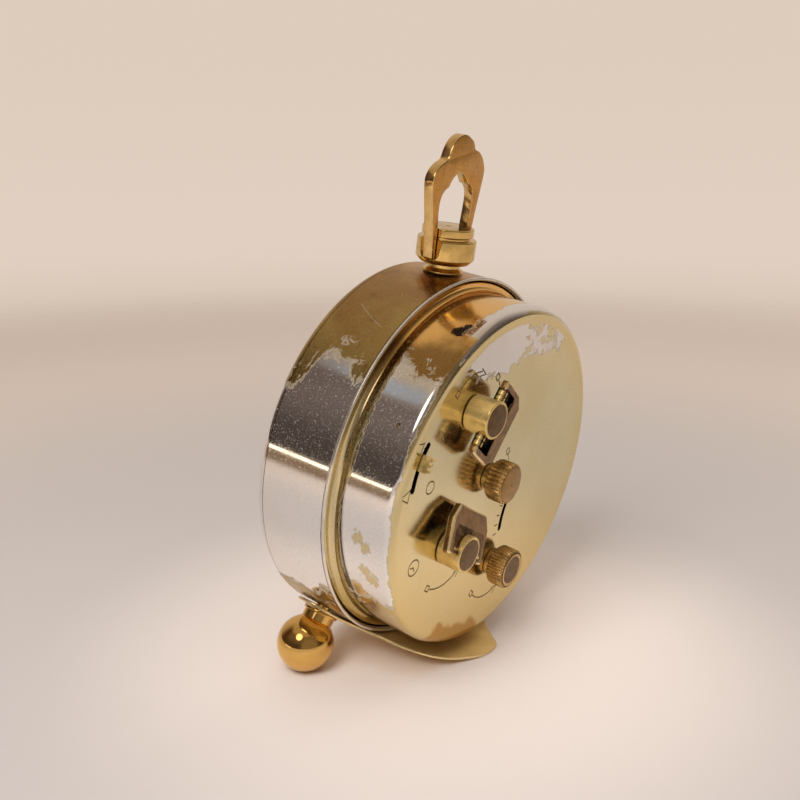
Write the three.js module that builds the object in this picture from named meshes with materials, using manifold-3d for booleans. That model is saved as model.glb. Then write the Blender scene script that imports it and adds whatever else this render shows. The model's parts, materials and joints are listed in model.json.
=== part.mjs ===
// Small wind-up alarm clock on two ball feet and a rear tongue.
// Millimetres. World frame: +Z up, the dial faces -Y, +X is to the right seen from the dial side,
// and the clock stands on Z = 0. The clock itself is laid out in its own frame, which is tilted
// back by the lean: its origin is the centre of the bezel's front plane, its Y runs along the
// clock's axis towards the back, and its Z points to twelve o'clock.
import * as THREE from "three";
import { mergeVertices } from "three/addons/utils/BufferGeometryUtils.js";
import Module from "manifold-3d";

const wasm = await Module();
wasm.setup();

// ---------------------------------------------------------------- driving dimensions
const GAP = 0.3; // clearance between neighbouring pieces

const CASE_R = 29.4; // front case, outer radius
const CASE_WALL = 0.6;
const CASE_FRONT = 1.5; // y where the front case starts, behind the bezel
const CASE_BACK = 13.35; // y of the rolled rear lip
const BEZEL_R = 29.25;
const BEZEL_BACK = 1.2;
const SIGHT_R = 25.8; // visible opening of the bezel

const COVER_R = 27.2; // rear cover, outer radius
const COVER_WALL = 0.6;
const COVER_BACK = 23.44; // y of the rear cover's outer face
const COVER_ROUND = 1.6; // corner radius between side and back
const COVER_FLANGE = 11.8; // y of the flange hidden inside the front case

const STEM_Y = 8.0; // y of the handle stem
const STEM_R = 2.6;
const COLLAR_R = 4.8;
const COLLAR_LOW = 30.9;
const COLLAR_HIGH = 34.6;
const CAP_R = 4.2;
const CAP_HIGH = 36.3;
const POCKET_R = 2.15; // round-bottomed seats for the handle legs
const POCKET_FLAT = 3.9; // distance of a seat's floor from the middle
const PIVOT_Z = 33.0; // handle pivot height
const HANDLE_THICK = 1.6;
const LEG_IN = 4.2; // inner and outer faces of the handle's legs
const LEG_OUT = 5.75;

const BALL_R = 4.49;
const BALL_RHO = 35.55; // distance of a ball's centre from the clock axis
const BALL_ANGLE = (35.93 * Math.PI) / 180; // from six o'clock
const BALL_Y = 5.2;
const BALL_FLAT = 0.15; // depth of the worn flat that the clock stands on
const FOOT_STEM_R = 2.5;
const SCREW_R = 1.2; // threaded ends of the stem and the feet

const STRAP_IN = 29.7; // stand bracket, inner and outer radius
const STRAP_OUT = 30.1;
const TONGUE_TIP = 26.5; // y of the tip that forms the rear foot

const KEY_POST_R = 2.8;
const KEY_BACK = 27.5; // y of the keys' end faces
const KEY_PIN_Y = 26.3; // y of the folding loops' hinge pins
const KEY_PIN_R = 0.5;
const KEY_PIVOT_R = 0.4; // front end of a key arbor
const KNOB_R = 3.2;
const KNOB_FRONT = 24.5;
const KNOB_BACK = 27.5;
const ARBOR_R = 1.1;

const PLATE_R = 25.8; // movement plates
const PIVOT_R = 0.25; // thin pivots of the train arbors
const PIVOT_LENGTH = 0.6;
const TRAIN_ARBOR_R = 0.5;
const TRAIN_BORE = 0.4; // hole of a wheel fixed on a train arbor
const HAND_BORE = 0.8; // inner radius of what turns on the centre arbor

// Where the layers lie along the clock's axis, as [front, back].
const MINUTE_HAND = [2.6, 2.9];
const HOUR_HAND = [3.2, 3.5];
const ALARM_HAND = [3.9, 4.1];
const DIAL = [4.6, 5.0];
const ALARM_WHEEL = [5.3, 5.7];
const ALARM_PINION = [5.2, 6.0];
const HOUR_WHEEL = [6.1, 6.6];
const MINUTE_PINION = [6.0, 6.95];
const MINUTE_WHEEL_AT = [6.9, 7.4];
const CANNON_PINION = [6.9, 7.8];
const FRONT_PLATE = [8.2, 9.0];
const MAINSPRINGS = [9.6, 12.5];
const THIRD_WHEEL = [10.2, 10.7];
const FOURTH_PINION = [9.9, 10.9];
const FOURTH_WHEEL = [11.5, 12.0];
const ESCAPE_PINION = [11.3, 12.2];
const MAIN_WHEELS = [12.8, 13.4];
const CENTRE_PINION = [12.7, 13.5];
const STRIKE_PINION = [12.6, 13.6];
const RATCHETS = [13.9, 14.4];
const STRIKE_STAR = [14.2, 14.7];
const CENTRE_WHEEL = [14.9, 15.4];
const THIRD_PINION = [14.7, 15.6];
const REAR_PLATE = [16.0, 16.8];
const SET_WHEELS = [17.2, 17.8];
const ESCAPE_STAR = [17.2, 17.6];
const LEVER_ARM = [17.1, 17.6];
const PALLET_FORK = [17.9, 18.1];
const BALANCE_RIM = [18.5, 19.0];
const HAIRSPRING = [19.4, 19.7];
const COCK = [20.3, 20.9];
const REGULATOR_ARM = [21.3, 21.7];
const TRAIN_SPAN = [FRONT_PLATE[1] + GAP, REAR_PLATE[0] - GAP]; // arbors between the plates

// Arbor positions in the clock's X, Z plane.
const CENTRE = [0, 0];
const TIME_KEY = [12.9, -6.8];
const ALARM_KEY = [10.9, 13.6];
const TIME_KNOB = [3.7, 1.7];
const ALARM_KNOB = [-1.2, -14.5];
const BALANCE = [-12.73, -9.0];
const HAMMER = [-5.0, 17.5];
const LEVER_PIVOT = [11.3, 3.8];

// Tooth counts.
const MAIN_TEETH = 42;
const CENTRE_PINION_TEETH = 14;
const CENTRE_TEETH = 42;
const THIRD_PINION_TEETH = 7;
const TRAIN_TEETH = 36;
const TRAIN_PINION_TEETH = 6;
const CANNON_TEETH = 10;
const MINUTE_TEETH = 30;
const MINUTE_PINION_TEETH = 8;
const HOUR_TEETH = 32;
const SET_TEETH = 12;
const ALARM_TEETH = 40;
const ALARM_PINION_TEETH = 10;
const STRIKE_MAIN_TEETH = 32;
const STRIKE_PINION_TEETH = 8;

// Lean of the clock: the ball feet and the tongue's tip touch the same plane.
const BALL_DROP = BALL_RHO * Math.cos(BALL_ANGLE);
const LEAN = solveLean();
const BALL_HEIGHT = BALL_R - BALL_FLAT;
const AXIS_HEIGHT = BALL_HEIGHT + BALL_Y * Math.sin(LEAN) + BALL_DROP * Math.cos(LEAN);

function solveLean() {
  const a = TONGUE_TIP - BALL_Y;
  const b = STRAP_OUT - BALL_DROP;
  const reach = Math.hypot(a, b);
  return Math.asin((BALL_R - BALL_FLAT) / reach) - Math.atan2(b, a);
}

const deg = THREE.MathUtils.degToRad;

// ---------------------------------------------------------------- materials
function finish(color, roughness, metalness = 1) {
  return new THREE.MeshStandardMaterial({ color, roughness, metalness });
}

const plated = finish(0xc9c6c0, 0.2);
const brass = finish(0xb98a3c, 0.28);
const darkBrass = finish(0x8a6230, 0.35);
const satinBrass = finish(0xc3ab78, 0.4);
const steel = finish(0x8d9096, 0.3);
const blued = finish(0x2c3a66, 0.3);
const glassy = finish(0xdfe8ea, 0.05, 0);
const paper = finish(0xefe9d8, 0.7, 0);
const blackPaint = finish(0x17150f, 0.5, 0);

// ---------------------------------------------------------------- solids
const ROUND = 40; // segments of the case-sized turned pieces

// A closed three.js geometry as a solid.
function solidOf(geometry) {
  const bare = geometry.clone();
  bare.deleteAttribute("normal");
  bare.deleteAttribute("uv");
  const merged = mergeVertices(bare, 1e-4);
  return new wasm.Manifold(
    new wasm.Mesh({
      numProp: 3,
      vertProperties: merged.attributes.position.array,
      triVerts: new Uint32Array(merged.index.array),
    }),
  );
}

// A solid as a three.js geometry.
function geometryOf(solid) {
  const data = solid.getMesh();
  const geometry = new THREE.BufferGeometry();
  geometry.setAttribute(
    "position",
    new THREE.BufferAttribute(new Float32Array(data.vertProperties), 3),
  );
  geometry.setIndex(new THREE.BufferAttribute(new Uint32Array(data.triVerts), 1));
  geometry.computeVertexNormals();
  return geometry;
}

function union(...solids) {
  return solids.reduce((all, next) => all.add(next));
}

function cut(solid, ...tools) {
  return tools.reduce((rest, tool) => rest.subtract(tool), solid);
}

// Turned piece about the Y axis, from [radius, y] points that run along its section.
function turned(points, segments = ROUND) {
  const closed = points[0][0] > 0 || points.at(-1)[0] > 0;
  const ring = closed ? [...points, points[0]] : points;
  let area = 0;
  for (let i = 0; i < points.length; i++) {
    const [r0, y0] = points[i];
    const [r1, y1] = points[(i + 1) % points.length];
    area += r0 * y1 - r1 * y0;
  }
  const ordered = area > 0 ? ring : [...ring].reverse();
  const profile = ordered.map(([r, y]) => new THREE.Vector2(r, y));
  return solidOf(new THREE.LatheGeometry(profile, segments));
}

// Straight rod along Y.
function rod(radius, y0, y1, segments = 12) {
  return turned([[0, y0], [radius, y0], [radius, y1], [0, y1]], segments);
}

function pipe(inner, outer, y0, y1, segments = 24) {
  return turned([[inner, y0], [outer, y0], [outer, y1], [inner, y1]], segments);
}

// Flat piece: an outline in the X, Z plane, from y0 to y1.
function sheet(shape, y0, y1, curveSegments = 12) {
  const options = { depth: y1 - y0, bevelEnabled: false, curveSegments };
  const geometry = new THREE.ExtrudeGeometry(shape, options);
  geometry.rotateX(Math.PI / 2);
  geometry.translate(0, y1, 0);
  return solidOf(geometry);
}

function block(width, depth, height) {
  return solidOf(new THREE.BoxGeometry(width, depth, height));
}

// A solid moved by a three.js matrix made from a position and rotations about X, Y and Z.
function placed(solid, [x, y, z], rotation = [0, 0, 0]) {
  const geometry = geometryOf(solid);
  const turn = new THREE.Matrix4().makeRotationFromEuler(
    new THREE.Euler(...rotation),
  );
  turn.setPosition(x, y, z);
  geometry.deleteAttribute("normal");
  return solidOf(geometry.applyMatrix4(turn));
}

// Flat piece that stands square to X, centred on it: an outline in the Z, Y plane.
function standing(shape, thickness) {
  const options = { depth: thickness, bevelEnabled: false };
  const geometry = new THREE.ExtrudeGeometry(shape, options);
  geometry.translate(0, 0, -thickness / 2);
  const turn = new THREE.Matrix4().makeBasis(
    new THREE.Vector3(0, 0, 1),
    new THREE.Vector3(0, 1, 0),
    new THREE.Vector3(-1, 0, 0),
  );
  return solidOf(geometry.applyMatrix4(turn));
}

function circleHole(shape, x, z, radius, sides = 8) {
  const points = [];
  for (let i = 0; i < sides; i++) {
    const angle = (-2 * Math.PI * i) / sides;
    points.push(new THREE.Vector2(x + radius * Math.cos(angle), z + radius * Math.sin(angle)));
  }
  shape.holes.push(new THREE.Path(points));
}

// ---------------------------------------------------------------- scene graph helpers
const clock = new THREE.Group();
clock.rotation.x = -LEAN;
clock.position.z = AXIS_HEIGHT;

function addMesh(parent, name, solid, material) {
  const mesh = new THREE.Mesh(geometryOf(solid), material);
  mesh.name = name;
  parent.add(mesh);
}

// A group whose Y axis is the arbor at x, z, turned so that angle 0 of its pieces points along
// the given direction in the X, Z plane.
function arborGroup([x, z], direction = 0) {
  const group = new THREE.Group();
  group.position.set(x, 0, z);
  group.rotation.y = -direction;
  clock.add(group);
  return group;
}

function directionOf([x0, z0], [x1, z1]) {
  return Math.atan2(z1 - z0, x1 - x0);
}

function distanceOf([x0, z0], [x1, z1]) {
  return Math.hypot(x1 - x0, z1 - z0);
}

function pointFrom([x, z], direction, distance) {
  return [x + distance * Math.cos(direction), z + distance * Math.sin(direction)];
}

// ---------------------------------------------------------------- gears
// Outline that repeats the same corners round a circle, each given as [radius, part of a pitch].
function toothedShape(teeth, corners) {
  const points = [];
  for (let i = 0; i < teeth; i++) {
    for (const [radius, part] of corners) {
      const angle = (2 * Math.PI * (i + part)) / teeth;
      points.push(new THREE.Vector2(radius * Math.cos(angle), radius * Math.sin(angle)));
    }
  }
  return new THREE.Shape(points);
}

// Outline of a gear with straight-sided teeth, one of them centred on angle 0.
function gearShape(teeth, module, boreRadius, spokes = 0) {
  const pitchR = (module * teeth) / 2;
  const rootR = pitchR - 1.1 * module;
  const tipR = pitchR + 0.75 * module;
  const shape = toothedShape(teeth, [[rootR, -0.5], [tipR, 0]]);
  circleHole(shape, 0, 0, boreRadius);
  addWindows(shape, spokes, boreRadius + 1.4, rootR - 1.2);
  return shape;
}

// Windows between the spokes of a wheel.
function addWindows(shape, spokes, innerR, outerR) {
  const halfSpoke = 0.45;
  for (let i = 0; i < spokes; i++) {
    const from = (2 * Math.PI * i) / spokes;
    const to = (2 * Math.PI * (i + 1)) / spokes;
    const outerTrim = Math.asin(halfSpoke / outerR);
    const innerTrim = Math.asin(halfSpoke / innerR);
    const path = new THREE.Path();
    path.absarc(0, 0, outerR, from + outerTrim, to - outerTrim, false);
    path.absarc(0, 0, innerR, to - innerTrim, from + innerTrim, true);
    path.closePath();
    shape.holes.push(path);
  }
}

function gear(teeth, module, [y0, y1], boreRadius, spokes = 0) {
  return sheet(gearShape(teeth, module, boreRadius, spokes), y0, y1, 1);
}

// Module that makes two gears mesh at a given distance.
function moduleFor(distance, teethA, teethB) {
  return (2 * distance) / (teethA + teethB);
}

// Phase of gear B that puts its teeth between those of gear A, whose phase is known.
function meshedPhase(phaseA, teethA, direction, teethB) {
  const pitchA = (2 * Math.PI) / teethA;
  const pitchB = (2 * Math.PI) / teethB;
  const offset = (direction - phaseA) / pitchA;
  return direction + Math.PI - (0.5 - offset) * pitchB;
}

// Star wheel with pointed teeth.
function star(teeth, tipR, rootR, [y0, y1], boreRadius) {
  const shape = toothedShape(teeth, [[tipR, 0], [rootR, 0.28], [rootR, 0.72]]);
  circleHole(shape, 0, 0, boreRadius);
  return sheet(shape, y0, y1);
}

// Arbor with a thin pivot at each end.
function pivotedArbor(radius, y0, y1, pivotR = PIVOT_R, pivotLength = PIVOT_LENGTH) {
  const pivots = rod(pivotR, y0 - pivotLength, y1 + pivotLength, 8);
  return union(rod(radius, y0, y1, 8), pivots);
}

// Flat spiral spring between two radii.
function spiral(innerR, outerR, turns, thickness, [y0, y1], stepsPerTurn = 12) {
  const steps = Math.round(turns * stepsPerTurn);
  const shape = new THREE.Shape();
  const walk = (i, offset) => {
    const angle = (2 * Math.PI * i) / stepsPerTurn;
    const radius = innerR + ((outerR - innerR) * i) / steps + offset;
    return [radius * Math.cos(angle), radius * Math.sin(angle)];
  };
  shape.moveTo(...walk(0, 0));
  for (let i = 1; i <= steps; i++) shape.lineTo(...walk(i, 0));
  for (let i = steps; i >= 0; i--) shape.lineTo(...walk(i, thickness));
  shape.closePath();
  return sheet(shape, y0, y1);
}

// Turned piece whose axis leaves the clock's axis square to it, at an angle from twelve
// o'clock (positive towards +X); its points are [radius, distance from the clock's axis].
function radial(points, angle, y, segments = 24) {
  const upright = placed(turned(points, segments), [0, 0, 0], [Math.PI / 2, 0, 0]);
  return placed(upright, [0, y, 0], [0, angle, 0]);
}

function radialRod(radius, angle, y, from, to, segments = 12) {
  return radial([[0, from], [radius, from], [radius, to], [0, to]], angle, y, segments);
}

const FOOT_ANGLES = { foot_right: Math.PI - BALL_ANGLE, foot_left: Math.PI + BALL_ANGLE };

// Everything below the plane that the clock stands on, seen from the tilted frame.
function belowFloor() {
  const slab = placed(block(300, 300, 100), [0, 0, -50]);
  const toClock = new THREE.Matrix4().makeRotationX(LEAN);
  toClock.multiply(new THREE.Matrix4().makeTranslation(0, 0, -AXIS_HEIGHT));
  const geometry = geometryOf(slab);
  geometry.deleteAttribute("normal");
  return solidOf(geometry.applyMatrix4(toClock));
}

// ---------------------------------------------------------------- case
function screwHoles(inner, outer) {
  const hole = SCREW_R + GAP;
  return [
    radialRod(hole, 0, STEM_Y, inner, outer),
    ...Object.values(FOOT_ANGLES).map((a) => radialRod(hole, a, BALL_Y, inner, outer)),
  ];
}

function frontCase() {
  const inner = CASE_R - CASE_WALL;
  const shell = turned([
    [inner, CASE_FRONT],
    [CASE_R, CASE_FRONT],
    [CASE_R, CASE_BACK],
    [inner, CASE_BACK],
  ]);
  return cut(shell, ...screwHoles(inner - 1, CASE_R + 1));
}

function bezel() {
  return turned([
    [SIGHT_R, 0.4],
    [SIGHT_R + 0.8, 0],
    [BEZEL_R - 1.2, 0],
    [BEZEL_R, BEZEL_BACK],
    [28.5, BEZEL_BACK],
    [28.5, 3.4],
    [28.0, 3.4],
    [28.0, 1.0],
  ]);
}

function crystal() {
  return turned([
    [0, 0.3],
    [13, 0.6],
    [25, 1.3],
    [27.7, 1.3],
    [27.7, 2.3],
    [25, 2.3],
    [13, 1.5],
    [0, 1.2],
  ]);
}

function dialRing() {
  return turned([[27.3, 2.6], [27.7, 2.6], [27.7, 3.4], [26.2, 3.4]]);
}

function movementRing() {
  const ring = pipe(26.6, 28.5, 3.7, 11.5, ROUND);
  return cut(ring, ...screwHoles(26, 29));
}

// Curved slot in the rear cover, swept about a pivot.
function arcSlot([x, z], radius, middle, halfAngle, width) {
  const shape = new THREE.Shape();
  const from = middle - halfAngle;
  const to = middle + halfAngle;
  shape.absarc(x, z, radius + width / 2, from, to, false);
  shape.absarc(x, z, radius - width / 2, to, from, true);
  shape.closePath();
  return sheet(shape, COVER_BACK - 2, COVER_BACK + 1);
}

const LEVER_RADIUS = 12.4; // from the alarm lever's pivot to its slot
const LEVER_MID = directionOf(LEVER_PIVOT, [22.86, 8.3]);
const LEVER_HALF = 3.26 / LEVER_RADIUS;
const LEVER_TAB_OFFSET = 0.75 / LEVER_RADIUS; // the tab rests near the slot's upper end
const REGULATOR_RADIUS = 10.4;
const REGULATOR_MID = directionOf(BALANCE, [-2.9, -5.6]);
const REGULATOR_HALF = 3.6 / REGULATOR_RADIUS;

function rearCover() {
  const flat = COVER_R - COVER_ROUND;
  const inner = COVER_R - COVER_WALL;
  const shell = turned([
    [0, COVER_BACK - COVER_WALL],
    [flat, COVER_BACK - COVER_WALL],
    [inner, COVER_BACK - COVER_ROUND],
    [inner, COVER_FLANGE],
    [28.5, COVER_FLANGE],
    [28.5, COVER_FLANGE + 0.5],
    [COVER_R, COVER_FLANGE + 0.5],
    [COVER_R, COVER_BACK - COVER_ROUND],
    [COVER_R - 0.21, COVER_BACK - 0.8],
    [COVER_R - 0.8, COVER_BACK - 0.21],
    [flat, COVER_BACK],
    [0, COVER_BACK],
  ]);
  const arborHoles = [TIME_KEY, ALARM_KEY, TIME_KNOB, ALARM_KNOB].map(([x, z]) =>
    placed(rod(ARBOR_R + GAP, COVER_BACK - 2, COVER_BACK + 1), [x, 0, z]),
  );
  const leverSlot = arcSlot(LEVER_PIVOT, LEVER_RADIUS, LEVER_MID, LEVER_HALF, 1.0);
  const regulatorSlot = arcSlot(BALANCE, REGULATOR_RADIUS, REGULATOR_MID, REGULATOR_HALF, 0.9);
  return cut(shell, ...arborHoles, leverSlot, regulatorSlot);
}

// Stand bracket: a strap bent round the underside of the case. Half of its outline, as
// [degrees from six o'clock, y]; the other half mirrors it.
const STRAP_HALF = [
  [5, 25.7],
  [9, 24.3],
  [15.5, 22.3],
  [22, 20.4],
  [29, 18.2],
  [33, 15.5],
  [36, 12.0],
  [39.5, 9.6],
  [43.5, 7.6],
  [44.8, 5.2],
  [43.5, 2.9],
  [40, 1.7],
];

function standBracket() {
  const across = (degrees) => STRAP_OUT * Math.sin(deg(degrees));
  const right = STRAP_HALF.map(([degrees, y]) => new THREE.Vector2(across(degrees), y));
  const tip = new THREE.Vector2(0, TONGUE_TIP + 0.2);
  const shape = new THREE.Shape([tip, ...right, ...mirrored(right)]);
  const depth = 20;
  const prism = new THREE.ExtrudeGeometry(shape, { depth, bevelEnabled: false });
  prism.translate(0, 0, -STRAP_OUT - 1);
  const shell = pipe(STRAP_IN, STRAP_OUT, 1, TONGUE_TIP + 1, ROUND);
  const holes = screwHoles(STRAP_IN - 1, STRAP_OUT + 1);
  return cut(shell.intersect(solidOf(prism)), ...holes, belowFloor());
}

function foot(angle) {
  const stemFrom = STRAP_OUT + GAP;
  const stemTo = BALL_RHO - BALL_R + 0.5;
  const stem = radialRod(FOOT_STEM_R, angle, BALL_Y, stemFrom, stemTo, 24);
  const screw = radialRod(SCREW_R, angle, BALL_Y, 27, stemFrom + 1);
  const x = BALL_RHO * Math.sin(angle);
  const z = BALL_RHO * Math.cos(angle);
  const ball = placed(solidOf(new THREE.SphereGeometry(BALL_R, 20, 12)), [x, BALL_Y, z]);
  return cut(union(stem, screw, ball), belowFloor());
}

// ---------------------------------------------------------------- handle
function handleStem() {
  const chamfer = 0.5;
  const turnedPart = radial(
    [
      [0, 27],
      [SCREW_R, 27],
      [SCREW_R, CASE_R + GAP],
      [STEM_R, CASE_R + GAP],
      [STEM_R, COLLAR_LOW],
      [COLLAR_R - chamfer, COLLAR_LOW],
      [COLLAR_R, COLLAR_LOW + chamfer],
      [COLLAR_R, COLLAR_HIGH - 0.2],
      [COLLAR_R - 0.2, COLLAR_HIGH],
      [CAP_R - 0.4, COLLAR_HIGH],
      [CAP_R - 0.4, COLLAR_HIGH + 0.5],
      [CAP_R, COLLAR_HIGH + 0.5],
      [CAP_R, CAP_HIGH - 0.2],
      [CAP_R - 0.2, CAP_HIGH],
      [0, CAP_HIGH],
    ],
    0,
    STEM_Y,
    20,
  );
  const seats = [-1, 1].map((side) => {
    const round = placed(rod(POCKET_R, -2, 2, 20), [0, 0, 0], [0, 0, Math.PI / 2]);
    const open = placed(block(4, 2 * POCKET_R, 6), [0, 0, 3]);
    return placed(union(round, open), [side * (POCKET_FLAT + 2), STEM_Y, PIVOT_Z]);
  });
  const crossHole = placed(rod(KEY_PIN_R + GAP, -6, 6), [0, STEM_Y, PIVOT_Z], [0, 0, Math.PI / 2]);
  return cut(turnedPart, ...seats, crossHole);
}

// Half of the handle's outline, on its +X side: from the top over two lobes, round the leg's end
// and up the inside to the peak of the arch.
function handleHalf() {
  const half = new THREE.Path();
  half.moveTo(0, 49.8);
  half.bezierCurveTo(1.3, 49.8, 2.6, 48.6, 3.2, 47.2);
  half.lineTo(3.5, 46.6);
  half.bezierCurveTo(4.8, 46.6, 6.6, 45.6, 6.7, 43.9);
  half.lineTo(LEG_OUT + 0.1, 38.5);
  half.lineTo(LEG_OUT, PIVOT_Z);
  half.absarc((LEG_OUT + LEG_IN) / 2, PIVOT_Z, (LEG_OUT - LEG_IN) / 2, 0, -Math.PI, true);
  half.lineTo(LEG_IN + 0.1, 38.8);
  half.bezierCurveTo(4.5, 41.2, 3.8, 42.2, 2.3, 42.5);
  half.quadraticCurveTo(1.6, 43.9, 0, 44.3);
  return half.getPoints(8);
}

function mirrored(points) {
  return points.map((p) => new THREE.Vector2(-p.x, p.y)).reverse();
}

function handle() {
  const right = handleHalf();
  const shape = new THREE.Shape([...right, ...mirrored(right.slice(1, -1))]);
  const plate = sheet(shape, STEM_Y - HANDLE_THICK / 2, STEM_Y + HANDLE_THICK / 2);
  const studs = [-1, 1].map((side) =>
    placed(rod(KEY_PIN_R, -0.9, 0.9), [side * 3.9, STEM_Y, PIVOT_Z], [0, 0, Math.PI / 2]),
  );
  return union(plate, ...studs);
}

// ---------------------------------------------------------------- winding keys and knobs
const LOOP_HALF = 5.8; // half the width of a key's folding loop
const LOOP_LENGTH = 6.4; // from its pin to its far edge
const LOOP_LEG = 1.4;
const LOOP_BAR = 3.2;
const LOOP_THICK = 1.3;
const KEYS = {
  time: { at: TIME_KEY, direction: 120, tilt: 12.9 },
  alarm: { at: ALARM_KEY, direction: 217, tilt: 4 },
};

// Key post with its arbor, about its own axis.
function keyPost() {
  const post = rod(KEY_POST_R, COVER_BACK + GAP, KEY_BACK, 32);
  const arbor = pivotedArbor(ARBOR_R, FRONT_PLATE[1] + GAP, COVER_BACK + 1, KEY_PIVOT_R, 0.5);
  const pinHole = placed(rod(KEY_PIN_R + GAP, -4, 4), [0, KEY_PIN_Y, 0], [Math.PI / 2, 0, 0]);
  return cut(union(post, arbor), pinHole);
}

// The pin runs along the group's Z axis.
function keyPin() {
  const half = LOOP_HALF - 0.1;
  return placed(rod(KEY_PIN_R, -half, half), [0, KEY_PIN_Y, 0], [Math.PI / 2, 0, 0]);
}

// The loop points along +X from its pin and tilts towards the back plate.
function keyLoop(tilt) {
  const inner = LOOP_HALF - LOOP_LEG;
  const legEnd = -LOOP_THICK / 2 - 0.3;
  const half = [
    [LOOP_LENGTH - LOOP_BAR, inner],
    [legEnd + 0.3, inner],
    [legEnd, inner + 0.3],
    [legEnd, LOOP_HALF - 0.4],
    [legEnd + 0.4, LOOP_HALF],
    [LOOP_LENGTH - 2.1, LOOP_HALF],
    [LOOP_LENGTH, LOOP_HALF - 1.35],
  ];
  const upper = half.map(([x, z]) => new THREE.Vector2(x, z));
  const lower = half.map(([x, z]) => new THREE.Vector2(x, -z)).reverse();
  const shape = new THREE.Shape([...upper, ...lower]);
  const flat = sheet(shape, -LOOP_THICK / 2, LOOP_THICK / 2);
  const pinHole = placed(rod(KEY_PIN_R + 0.1, -7, 7, 12), [0, 0, 0], [Math.PI / 2, 0, 0]);
  const bored = cut(flat, pinHole);
  return placed(bored, [0, KEY_PIN_Y, 0], [0, 0, -deg(tilt)]);
}

// Knurled setting knob with a neck and an arbor.
function knob(flutes, depth, arborFront) {
  const shape = toothedShape(flutes, [[KNOB_R, 0], [KNOB_R - depth, 0.5]]);
  const grip = sheet(shape, KNOB_FRONT, KNOB_BACK);
  const neck = rod(2.2, COVER_BACK + GAP, KNOB_FRONT + 0.5, 24);
  return union(grip, neck, rod(ARBOR_R, arborFront, KNOB_FRONT + 0.5));
}

function collarGear(teeth, module, layer) {
  return gear(teeth, module, layer, ARBOR_R + GAP);
}

// Ratchet wheel on a key arbor.
function ratchetWheel() {
  return star(18, 4.2, 3.5, RATCHETS, ARBOR_R + GAP);
}

// ---------------------------------------------------------------- assembly
function addCase() {
  addMesh(clock, "front_case", frontCase(), plated);
  addMesh(clock, "bezel", bezel(), plated);
  addMesh(clock, "crystal", crystal(), glassy);
  addMesh(clock, "dial_ring", dialRing(), satinBrass);
  addMesh(clock, "dial", pipe(2.3, 26.2, ...DIAL, ROUND), paper);
  addMesh(clock, "movement_ring", movementRing(), steel);
  addMesh(clock, "rear_cover", rearCover(), satinBrass);
  addMesh(clock, "stand_bracket", standBracket(), brass);
  for (const [name, angle] of Object.entries(FOOT_ANGLES)) {
    addMesh(clock, name, foot(angle), brass);
  }
  addMesh(clock, "handle_stem", handleStem(), brass);
  addMesh(clock, "handle", handle(), brass);
}

const CENTRE_TO_THIRD = 11.025;
const THIRD_TO_FOURTH = 9.28;
const FOURTH_TO_ESCAPE = 8.4;
const THIRD = pointFrom(CENTRE, deg(160), CENTRE_TO_THIRD);
const FOURTH = pointFrom(THIRD, deg(-85), THIRD_TO_FOURTH);
const ESCAPE = pointFrom(FOURTH, deg(160), FOURTH_TO_ESCAPE);
const ESCAPE_TO_PALLET = 4.9;
const PALLET = pointFrom(ESCAPE, directionOf(ESCAPE, BALANCE), ESCAPE_TO_PALLET);
const CENTRE_TO_MINUTE = 7.2;
const MINUTE_WHEEL = pointFrom(CENTRE, deg(60), CENTRE_TO_MINUTE);
const STRIKE = pointFrom(ALARM_KEY, deg(170), 9.24);
const PILLARS = [18, 112, 190, 255].map((angle) => pointFrom(CENTRE, deg(angle), 24));
const COCK_FOOT = [-20.1, -13.2];
const CENTRE_ARBOR_R = 0.6;

// Movement plate with a clearance hole for each [place, radius].
function movementPlate([y0, y1], holes) {
  const shape = new THREE.Shape();
  shape.absarc(0, 0, PLATE_R, 0, 2 * Math.PI, false);
  for (const [[x, z], radius] of holes) circleHole(shape, x, z, radius);
  return sheet(shape, y0, y1, 8);
}

function addFrame() {
  const pivotHole = PIVOT_R + GAP;
  const centreHole = CENTRE_ARBOR_R + GAP;
  const trainHoles = [THIRD, FOURTH, STRIKE, HAMMER].map((at) => [at, pivotHole]);
  const front = [
    ...trainHoles,
    [ESCAPE, pivotHole],
    [CENTRE, centreHole],
    [TIME_KEY, KEY_PIVOT_R + GAP],
    [ALARM_KEY, KEY_PIVOT_R + GAP],
    [ALARM_KNOB, ARBOR_R + GAP],
  ];
  const rear = [
    ...trainHoles,
    [ESCAPE, TRAIN_ARBOR_R + GAP],
    [PALLET, pivotHole],
    [BALANCE, pivotHole],
    [CENTRE, centreHole],
    [LEVER_PIVOT, TRAIN_ARBOR_R + GAP],
    ...[TIME_KEY, ALARM_KEY, ALARM_KNOB].map((at) => [at, ARBOR_R + GAP]),
  ];
  addMesh(clock, "front_plate", movementPlate(FRONT_PLATE, front), brass);
  addMesh(clock, "rear_plate", movementPlate(REAR_PLATE, rear), brass);
  PILLARS.forEach(([x, z], i) => {
    const pillar = rod(1.4, ...TRAIN_SPAN, 16);
    addMesh(clock, `pillar_${i + 1}`, placed(pillar, [x, 0, z]), steel);
  });
  const foot = rod(1.5, REAR_PLATE[1] + GAP, COCK[0] + 0.2, 16);
  const cock = union(cockPlate(), placed(foot, [COCK_FOOT[0], 0, COCK_FOOT[1]]));
  addMesh(clock, "balance_cock", cock, brass);
}

// Balance cock: a bar with round ends from its foot to the balance staff.
function cockPlate() {
  const heading = directionOf(COCK_FOOT, BALANCE);
  const bar = new THREE.Shape();
  const quarter = Math.PI / 2;
  bar.absarc(...COCK_FOOT, 1.9, heading + quarter, heading + 3 * quarter, false);
  bar.absarc(...BALANCE, 1.9, heading - quarter, heading + quarter, false);
  bar.closePath();
  circleHole(bar, ...BALANCE, PIVOT_R + GAP);
  return sheet(bar, ...COCK, 8);
}

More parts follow.
